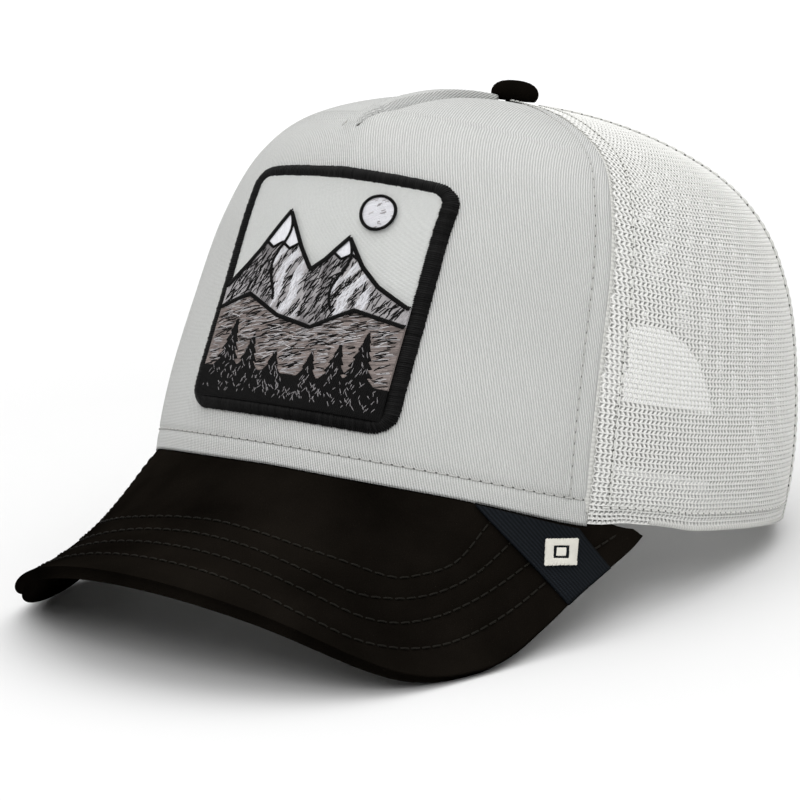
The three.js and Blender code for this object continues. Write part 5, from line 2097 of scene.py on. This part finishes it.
@dataclass
class Patch:
    """The bordered patch with its embroidered picture."""

    form: PatchForm
    border_threads: int = 470
    border_thread_width: float = 0.7
    tries: int = 4000
    seed: int = 7
    picture: Landscape = field(default_factory=Landscape)

    FILLINGS: ClassVar[tuple[Filling, ...]] = (
        Filling(Part.MOUNTAINS, "grey_thread", 62, ("patch_mountains",), spread=0.35, longest=2.6),
        Filling(Part.SNOW, "white_thread", 100, ("patch_snow_left", "patch_snow_right"), tone=0.8),
        Filling(Part.HILLS, "taupe_thread", 12, ("patch_hills",), spread=0.7, longest=3.4),
        Filling(Part.TREES, "black_thread", 90, ("patch_trees",), tone=0.35, lift=2.1),
        Filling(Part.MOON, "white_thread", 25, ("patch_moon",), tone=0.7),
    )
    STROKES: ClassVar[tuple[Stroke, ...]] = (
        Stroke(Part.MOUNTAINS, "black_thread", 420, (58, 14), (1.6, 3.6), (-9, 18)),
        Stroke(Part.MOUNTAINS, "white_thread", 520, (64, 14), (1.4, 3.4), (-9, 18)),
        Stroke(Part.HILLS, "black_thread", 260, (16, 9), (1.8, 4.2), (-23, -3)),
        Stroke(Part.HILLS, "grey_thread", 320, (14, 9), (1.6, 3.6), (-23, -3)),
        Stroke(Part.TREES, "grey_thread", 240, (62, 12), (0.9, 1.9), (-30, -9), tone=0.15),
        Stroke(Part.MOON, "grey_thread", 16, (25, 10), (0.8, 1.8), (18, 27)),
    )

    def __post_init__(self) -> None:
        """Starts the row of random draws."""
        self.chance = np.random.default_rng(self.seed)

    def build(self, threads: ThreadTree, finishes: Finishes) -> None:
        """Builds the ground, the border and the picture.

        Args:
            threads: The thread's node tree.
            finishes: The materials.
        """
        self.build_ground(finishes)
        self.build_border(threads, finishes)
        for filling in self.FILLINGS:
            self.build_base(filling, finishes)
            self.fill(filling, threads, finishes)
        self.build_accents(threads, finishes)
        self.build_outlines(threads, finishes)

    def rounded_half(self, b: Array, half_width: float, half_height: float, corner: float) -> Array:
        """Half-width of a round-cornered plate at a height."""
        into = np.clip(np.abs(b) - (half_height - corner), 0, corner)
        return half_width - corner + np.sqrt(np.maximum(0, corner**2 - into**2))

    def build_ground(self, finishes: Finishes) -> None:
        """Builds the twill ground, puffed a little between the border's sides.

        Args:
            finishes: The hat's finishes.
        """
        f = self.form
        half_w, half_h = f.width / 2 - 4.0, f.height / 2 - 4.0
        b = half_h * np.sin(np.linspace(-math.pi / 2, math.pi / 2, 60))
        a = self.rounded_half(b, half_w, half_h, 3.5)[:, None] * np.linspace(-1, 1, 60)
        b = b[:, None] + 0 * a
        rise = f.ground_rise + 0.25 * (1 - (a / half_w) ** 4) * (1 - (b / half_h) ** 4)
        outer, inner = f.point(a, b, rise), f.point(a, b, 0 * a)
        obj = make_wall("patch_ground_twill", f.form, outer, inner, np.stack([a, b], -1))
        settle(obj, "patch_twill", finishes["patch_twill"], ["patch_ground"])

    def path(self, count: int) -> tuple[Array, Array]:
        """Even places round the border's middle line.

        Args:
            count: How many places.

        Returns:
            The places a, b and the directions out across the border.
        """
        f = self.form
        w, h, r = f.width / 2 - f.border / 2, f.height / 2 - f.border / 2, f.corner - f.border / 2
        sides = (2 * (h - r), math.pi * r / 2, 2 * (w - r), math.pi * r / 2) * 2
        reach = np.cumsum((0,) + sides)
        along = np.arange(count) / count * reach[-1]
        spots, out = np.zeros((count, 2)), np.zeros((count, 2))
        corners = np.array([(w - r, h - r), (r - w, h - r), (r - w, r - h), (w - r, r - h)])
        for k in range(8):
            mask = (along >= reach[k]) & (along < reach[k + 1])
            t = (along[mask] - reach[k]) / sides[k]
            corner, before, rounding = corners[k // 2], corners[(k // 2 - 1) % 4], k % 2
            turn = np.radians(90 * (k // 2 + rounding * t))
            way = np.stack([np.cos(turn), np.sin(turn)], -1)
            centre = corner + 0 * way if rounding else before + (corner - before) * t[:, None]
            spots[mask], out[mask] = centre + r * way, way
        return spots, out

    def build_border(self, threads: ThreadTree, finishes: Finishes) -> None:
        """Builds the padded border and the threads wound over it.

        Args:
            threads: The tree that lays threads.
            finishes: The hat's finishes.
        """
        f = self.form
        spots, out = self.path(400)
        turn = np.arange(14) * TAU / 14
        across = (f.border / 2 - 0.3) * np.sign(np.cos(turn)) * np.abs(np.cos(turn)) ** 0.8
        lift = np.maximum(0, 1.6 * np.sin(turn))
        place = spots[:, None] + out[:, None] * across[None, :, None]
        rings = f.point(place[..., 0], place[..., 1], np.broadcast_to(lift, place.shape[:2]))
        obj = make_loops("patch_border_core", f.form, rings, closed=True)
        settle(obj, "black_thread", finishes["black_thread"], ["patch_border"])
        count = self.border_threads
        spots, out = self.path(count)
        sewn = Stitches.empty()
        slant = np.stack([-out[:, 1], out[:, 0]], -1) * 0.25
        reach = f.border / 2 + self.chance.uniform(-0.16, 0.04, (2, count, 1))
        start = spots - out * reach[0] - slant
        end = spots + out * reach[1] + slant
        tone = np.clip(self.chance.normal(0.45, 0.25, count), 0, 1)
        lift = 0.15 + self.chance.uniform(-0.08, 0.08, count)
        f.stitch(sewn, start, end, lift, self.border_thread_width, tone)
        threads.lay("patch_border_threads", sewn, f.form, "black_thread", finishes["black_thread"], rise=4.5,
                    steps=8, sides=5)

    def build_base(self, filling: Filling, finishes: Finishes) -> None:
        """Builds the thin underlay below one part's threads, stepped along the edge of a grid of cells.

        Args:
            filling: The part and how it is filled.
            finishes: The hat's finishes.
        """
        f, cell = self.form, 0.5
        grid = np.arange(-34, 34 + cell, cell)
        b, a = np.meshgrid(grid, grid, indexing="ij")
        inside = self.picture.region(filling.part, a[:-1, :-1] + cell / 2, b[:-1, :-1] + cell / 2)
        j, i = np.nonzero(inside)
        n = len(grid)
        lower = j * n + i
        quads = np.stack([lower, lower + 1, lower + n + 1, lower + n], -1)
        walls = []
        padded = np.pad(inside, 1)
        for dj, di, near, far in ((-1, 0, 0, 1), (0, 1, 1, 2), (1, 0, 2, 3), (0, -1, 3, 0)):
            edge = quads[~padded[j + 1 + dj, i + 1 + di]]
            top_edge = edge[:, [far, near]]
            walls.append(np.concatenate([top_edge, n * n + top_edge[:, ::-1]], -1))
        faces = np.concatenate([quads, n * n + quads[:, ::-1], *walls])
        safe_a = np.clip(a, -31, 31)
        top = f.point(safe_a, b, filling.lift - 0.15).reshape(-1, 3)
        low = f.point(safe_a, b, 1.3).reshape(-1, 3)
        used, faces = np.unique(faces, return_inverse=True)
        points = np.concatenate([top, low])[used]
        tone = np.full(len(points), 0.3 * filling.tone + 0.1)
        name = f"patch_{filling.part.value}_base"
        obj = make_piece(name, f.form.place(points), faces.reshape(-1, 4), tone=tone)
        settle(obj, filling.slot, finishes[filling.slot], filling.nodes)

    def rows(self, filling: Filling) -> tuple[Array, Array]:
        """Rows of stitches over one part of the picture, cut to the thread's longest stitch.

        Args:
            filling: The part and how it is filled.

        Returns:
            Places a, b at which the stitches start and end.
        """
        turn = math.radians(filling.angle)
        ahead, side = np.array([math.cos(turn), math.sin(turn)]), np.array([-math.sin(turn), math.cos(turn)])
        starts, ends = [], []
        t = np.arange(-46, 46, 0.08)
        for row, offset in enumerate(np.arange(-46, 46, filling.pitch)):
            spots = offset * side + t[:, None] * ahead
            inside = self.picture.region(filling.part, spots[:, 0], spots[:, 1])
            change = np.flatnonzero(np.diff(np.concatenate([[0], inside.astype(int), [0]])))
            for low, high in zip(change[::2], change[1::2]):
                first, last = t[low], t[high - 1]
                if last - first < 0.5:
                    continue
                cuts = np.arange(first - (row * 1.7 % filling.longest), last, filling.longest)
                cuts = np.concatenate([[first], cuts[(cuts > first + 0.8) & (cuts < last - 0.8)], [last]])
                starts.append(offset * side + cuts[:-1, None] * ahead)
                ends.append(offset * side + cuts[1:, None] * ahead)
        return np.concatenate(starts), np.concatenate(ends)

    def fill(self, filling: Filling, threads: ThreadTree, finishes: Finishes) -> None:
        """Fills one part of the picture with rows of stitches.

        Args:
            filling: The part and how it is filled.
            threads: The tree that lays threads.
            finishes: The hat's finishes.
        """
        start, end = self.rows(filling)
        middle = (start + end) / 2
        tone = filling.tone + self.chance.uniform(-0.5, 0.5, len(start)) * filling.spread
        if filling.part is Part.MOUNTAINS:
            tone = tone - 0.5 + self.picture.light(middle[:, 0], middle[:, 1])
        sewn = Stitches.empty()
        self.form.stitch(sewn, start, end, filling.lift, filling.width, np.clip(tone, 0, 1))
        name = f"patch_{filling.part.value}_threads"
        threads.lay(name, sewn, self.form.form, filling.slot, finishes[filling.slot], rise=0.5)

    def build_accents(self, threads: ThreadTree, finishes: Finishes) -> None:
        """Builds the loose single strokes laid over the picture's parts.

        Args:
            threads: The tree that lays threads.
            finishes: The hat's finishes.
        """
        for stroke in self.STROKES:
            (middle, spread), (short, long), (low, high) = stroke.turn, stroke.length, stroke.between
            tries = self.tries
            spots = np.stack([self.chance.uniform(-29, 29, tries), self.chance.uniform(low, high, tries)], -1)
            turn = np.radians(self.chance.normal(middle, spread, tries))
            if stroke.part is Part.TREES:
                turn = np.where(self.chance.uniform(size=tries) > 0.5, turn, math.pi - turn)
            ahead = np.stack([np.cos(turn), np.sin(turn)], -1)
            way = ahead * self.chance.uniform(short, long, (tries, 1)) / 2
            ends = (spots - way, spots, spots + way)
            keep = np.all([self.picture.region(stroke.part, end[:, 0], end[:, 1]) for end in ends], axis=0)
            if stroke.part is Part.MOUNTAINS:
                light = self.picture.light(spots[:, 0], spots[:, 1]) > 0.5
                keep &= light == (stroke.finish == "white_thread")
            spots, way = spots[keep][:stroke.count], way[keep][:stroke.count]
            sewn = Stitches.empty()
            tone = self.chance.uniform(0.2, 0.9, len(spots)) * stroke.tone
            self.form.stitch(sewn, spots - way, spots + way, 2.15, 0.3, tone)
            name = f"patch_{stroke.part.value}_{stroke.finish}_strokes"
            threads.lay(name, sewn, self.form.form, stroke.finish, finishes[stroke.finish], rise=0.7)

    def build_outlines(self, threads: ThreadTree, finishes: Finishes) -> None:
        """Builds the dark satin lines between the picture's parts.

        Args:
            threads: The tree that lays threads.
            finishes: The hat's finishes.
        """
        picture, sewn = self.picture, Stitches.empty()
        a = np.linspace(-picture.HALF, picture.HALF, 900)
        lines = [(a, picture.hills(a), 1.0), (a, picture.mountains(a), 1.1)]
        for low, high, _ in picture.SNOW:
            part = np.linspace(low + 0.1, high - 0.1, 160)
            lines.append((part, np.minimum(picture.snow_floor(part), picture.mountains(part)), 0.6))
        for summit in picture.SUMMITS:
            b = np.linspace(summit[1] - 1, -4, 200)
            lines.append((picture.ridge(summit, b), b, 0.7))
        turn = np.linspace(0, TAU, 120)
        moon_a, moon_b, radius = picture.MOON
        lines.append((moon_a + radius * np.cos(turn), moon_b + radius * np.sin(turn), 0.8))
        for line_a, line_b, wide in lines:
            stops, ahead = resample(np.stack([line_a, line_b, 0 * line_a], -1), 0.4)
            keep = ~picture.firs(stops[:, 0], stops[:, 1])
            stops, ahead = stops[keep, :2], ahead[keep, :2]
            across = np.stack([-ahead[:, 1], ahead[:, 0]], -1)
            lean = (across + 0.5 * ahead) * wide / 2
            self.form.stitch(sewn, stops - lean, stops + lean, 2.35, 0.5, 0.35)
        form, black = self.form.form, finishes["black_thread"]
        threads.lay("patch_outline_threads", sewn, form, "black_thread", black, rise=0.6)


# Button and strap

@dataclass
class Button:
    """The suede-covered button on the crown's top."""

    form: CrownForm
    centre_y: float = -1.3
    seat: float = 116.9
    sides: int = 72
    gather: float = 0.12
    gathers: int = 9

    # Radius and height over the seat
    PROFILE: ClassVar[tuple[tuple[float, float], ...]] = (
        (0.0, -5.1), (6.3, -5.1), (6.3, -4.1), (2.6, -3.9), (2.6, 0.3), (4.6, 0.15), (6.1, 0.2),
        (6.6, 0.7), (7.0, 1.5), (7.1, 2.3), (6.95, 3.2), (6.5, 4.15), (5.6, 5.0), (4.2, 5.7),
        (2.4, 6.1), (1.0, 6.2), (0.0, 6.2),
    )

    def build(self, finishes: Finishes) -> None:
        """Builds the button as a lathe with a slightly gathered lower edge.

        Args:
            finishes: The hat's finishes.
        """
        rows = np.array(self.PROFILE)
        turn = np.arange(self.sides) * TAU / self.sides
        low = np.clip(1 - np.abs(rows[:, 1] - 0.6) / 1.4, 0, 1) * (rows[:, 0] > 4)
        radius = rows[:, :1] + low[:, None] * self.gather * np.sin(turn * self.gathers)
        loops = np.stack([radius * np.cos(turn), self.centre_y + radius * np.sin(turn),
                          self.seat + rows[:, 1:] + 0 * radius], -1)
        settle(make_loops("button_suede", self.form, loops), "suede", finishes["suede"], ["button"])


@dataclass
class SnapStrap:
    """The closing strap: a studded half under a half with holes."""

    form: CrownForm
    arch: Arch
    low: float = 5.0
    high: float = 27.5
    reach: float = 43.0
    lap: float = 24.0
    stud_pitch: float = 8.0
    studs: int = 7
    rim_height: float = 2.2

    # Radius and height over the strap's face
    STUD_PROFILE: ClassVar[tuple[tuple[float, float], ...]] = (
        (2.9, -0.2), (2.9, 0.25), (2.5, 0.3), (2.2, 0.15), (1.9, 0.5), (1.5, 0.9), (0.8, 1.1), (0.0, 1.15),
    )

    def point(self, x: Array, up: Array, depth: Array | float) -> tuple[Array, Array]:
        """Place on the strap.

        Args:
            x: Places across, in mm.
            up: Heights above the rim.
            depth: Depth below the crown's outer surface.

        Returns:
            Points and outward directions.
        """
        level = (up - self.rim_height) / self.arch.step
        angle = self.arch.angle_at(x, level)
        return self.form.point(angle, level, -np.asarray(depth, float) + 0 * x), self.form.normal(angle, level)

    def band(self, name: str, ends: tuple[float, float], depth: float, finishes: Finishes,
             nodes: Sequence[str]) -> None:
        """Builds one half of the strap with rounded long edges and a raised rim.

        Args:
            name: The half's name.
            ends: The x of its two ends.
            depth: Depth of its face below the crown's outer surface.
            finishes: The hat's finishes.
            nodes: The solids that it stands for.
        """
        v, u = np.meshgrid(np.linspace(0, 1, 26), np.linspace(0, 1, 110), indexing="ij")
        up = self.low + (self.high - self.low) * v
        length = ends[1] - ends[0]
        edge = np.minimum(np.minimum(v, 1 - v) * (self.high - self.low), np.minimum(u, 1 - u) * abs(length))
        rim = 0.12 * (1 - ease(edge, 0.8, 1.6)) - 0.35 * (1 - ease(edge, 0, 0.5))
        x = ends[0] + length * u
        outer, inner = self.point(x, up, depth - rim)[0], self.point(x, up, depth + 0.65)[0]
        settle(make_wall(name, self.form, outer, inner), "strap_plastic", finishes["strap_plastic"], nodes)

    def build(self, finishes: Finishes) -> None:
        """Builds both halves and the row of studs.

        Args:
            finishes: The hat's finishes.
        """
        middle = self.arch.CENTRE_X
        self.band("strap_outer", (middle + self.reach, middle - self.lap), 1.85, finishes, ["snap_strap"])
        self.band("strap_inner", (middle + self.lap, middle - self.reach), 2.65, finishes, [])
        places = middle + (np.arange(self.studs) - self.studs // 2) * self.stud_pitch
        point, normal = self.point(places, np.full(self.studs, (self.low + self.high) / 2), 1.85)
        profile = np.array(self.STUD_PROFILE)
        turn = np.arange(24) * TAU / 24
        parts, faces = [], []
        for k in range(self.studs):
            side = unit(np.cross(normal[k], [0, 0, 1.0]))
            ring = np.cos(turn)[:, None] * side + np.sin(turn)[:, None] * np.cross(side, normal[k])
            loops = point[k] + profile[:, None, :1] * ring + profile[:, None, 1:] * normal[k]
            base = point[k] - 0.2 * normal[k] + 0 * loops[:1]
            loops = np.concatenate([base, loops])
            faces.append(tube_faces(len(loops), 24, False) + k * len(loops) * 24)
            parts.append(loops.reshape(-1, 3))
        obj = make_piece("strap_studs", self.form.place(np.concatenate(parts)), np.concatenate(faces))
        face_outward(obj)
        settle(obj, "strap_plastic", finishes["strap_plastic"])


# Studio

@dataclass(frozen=True)
class Lamp:
    """One soft area light."""

    name: str
    place: tuple[float, float, float]
    watts: float
    size: float


@dataclass(frozen=True)
class Studio:
    """The pale floor, the soft lights and the camera at the photo's angle."""

    form: CrownForm
    target: tuple[float, float, float] = (0.0, 0.0, 50.0)
    distance: float = 959.23
    right: tuple[float, float, float] = (0.8235, 0.5575, 0.1050)
    up: tuple[float, float, float] = (-0.1092, -0.0259, 0.9937)
    back: tuple[float, float, float] = (0.5567, -0.8298, 0.0395)
    lens: float = 145.08
    shift: tuple[float, float] = (-0.1159, -0.0930)
    aim: tuple[float, float, float] = (0.0, 0.0, 0.05)
    horizon_power: float = 1.8
    zenith: float = 2.2
    floor_half: float = 30.0
    # distances over which the floor's painted shade near the hat fades out
    floor_shade_fade: tuple[float, float] = (0.25, 0.9)
    floor_shade_tones: tuple[float, float] = (0.76, 0.93)
    lamps: tuple[Lamp, ...] = (
        Lamp("key_light", (1.15, -1.8, 1.6), 19, 1.2),
        Lamp("fill_light", (-0.9, -1.9, 1.8), 3, 1.2),
    )

    def build(self) -> None:
        """Builds the floor, the sky, the lamps and the camera."""
        bpy.context.scene.view_settings.view_transform = "Standard"
        self.build_floor()
        self.build_sky()
        for lamp in self.lamps:
            light = bpy.data.lights.new(lamp.name, "AREA")
            light.energy = lamp.watts
            light.size = lamp.size
            obj = bpy.data.objects.new(lamp.name, light)
            obj.location = lamp.place
            aim = Vector(self.aim) - Vector(lamp.place)
            obj.rotation_euler = aim.to_track_quat("-Z", "Y").to_euler()
            bpy.context.scene.collection.objects.link(obj)
        self.build_camera()

    def build_floor(self) -> None:
        """Builds the floor of pale paper, a little darker near the hat as painted shade under it."""
        signs = ((-1, -1), (1, -1), (1, 1), (-1, 1))
        corners = [(x * self.floor_half, y * self.floor_half, 0) for x, y in signs]
        floor = make_piece("floor", np.array(corners), np.array([(0, 1, 2, 3)]), smooth=False)
        paper, n, shader = start_material("paper", {"Roughness": 0.9, "Specular IOR Level": 0.1})
        place = n.add("ShaderNodeTexCoord").outputs["Object"]
        spot = n.add("ShaderNodeVectorMath", {0: place}, operation="LENGTH")
        # darker paper near the hat: painted shade that deepens the hat's shadow
        away = n.remap(spot.outputs["Value"], *self.floor_shade_fade, 0, 1)
        near, far = [(tone,) * 3 for tone in self.floor_shade_tones]
        n.tree.links.new(n.tint(away, near, far), shader.inputs["Base Color"])
        floor.data.materials.append(paper)

    def build_sky(self) -> None:
        """Builds the white sky, brightest overhead and dark at the horizon."""
        world = bpy.data.worlds.new("sky")
        world.use_nodes = True
        n = Nodes(world.node_tree)
        place = n.add("ShaderNodeTexCoord").outputs["Generated"]
        height = n.add("ShaderNodeSeparateXYZ", {0: place}).outputs[2]
        fade = n.math("POWER", n.math("MAXIMUM", height, 0.0), self.horizon_power)
        sky = world.node_tree.nodes["Background"]
        sky.inputs["Color"].default_value = (1, 1, 1, 1)
        n.tree.links.new(n.math("MULTIPLY", fade, self.zenith), sky.inputs["Strength"])
        bpy.context.scene.world = world

    def build_camera(self) -> None:
        """Builds the camera that was fitted to the photo."""
        target = np.array(self.target)
        place = self.form.place(target + self.distance * np.array(self.back))
        axes = self.form.turn(np.array([self.right, self.up, self.back]))
        matrix = Matrix(axes.T.tolist()).to_4x4()
        matrix.translation = Vector(place.tolist())
        data = bpy.data.cameras.new("camera")
        data.lens = self.lens
        data.sensor_width = 36
        data.shift_x, data.shift_y = self.shift
        data.clip_end = 200
        camera = bpy.data.objects.new("camera", data)
        camera.matrix_world = matrix
        bpy.context.scene.collection.objects.link(camera)
        bpy.context.scene.camera = camera


def write_sizes() -> None:
    """Brings the view layer up to date."""
    bpy.context.view_layer.update()


def main() -> None:
    """Builds the hat from its crown to its label, then the studio."""
    logging.basicConfig(level=logging.INFO, format="%(message)s")
    form = CrownForm(PeakForm())
    finishes = Finishes()
    threads = ThreadTree()
    Studio(form).build()
    Crown(form).build(finishes)
    arch = Arch(form)
    SewnLines(form, arch).build(threads, finishes)
    peak = Peak(form)
    peak.build(threads, finishes)
    PeakLabel(peak).build(threads, finishes)
    Patch(PatchForm(form)).build(threads, finishes)
    Button(form).build(finishes)
    SnapStrap(form, arch).build(finishes)
    write_sizes()


if __name__ == "__main__":
    main()
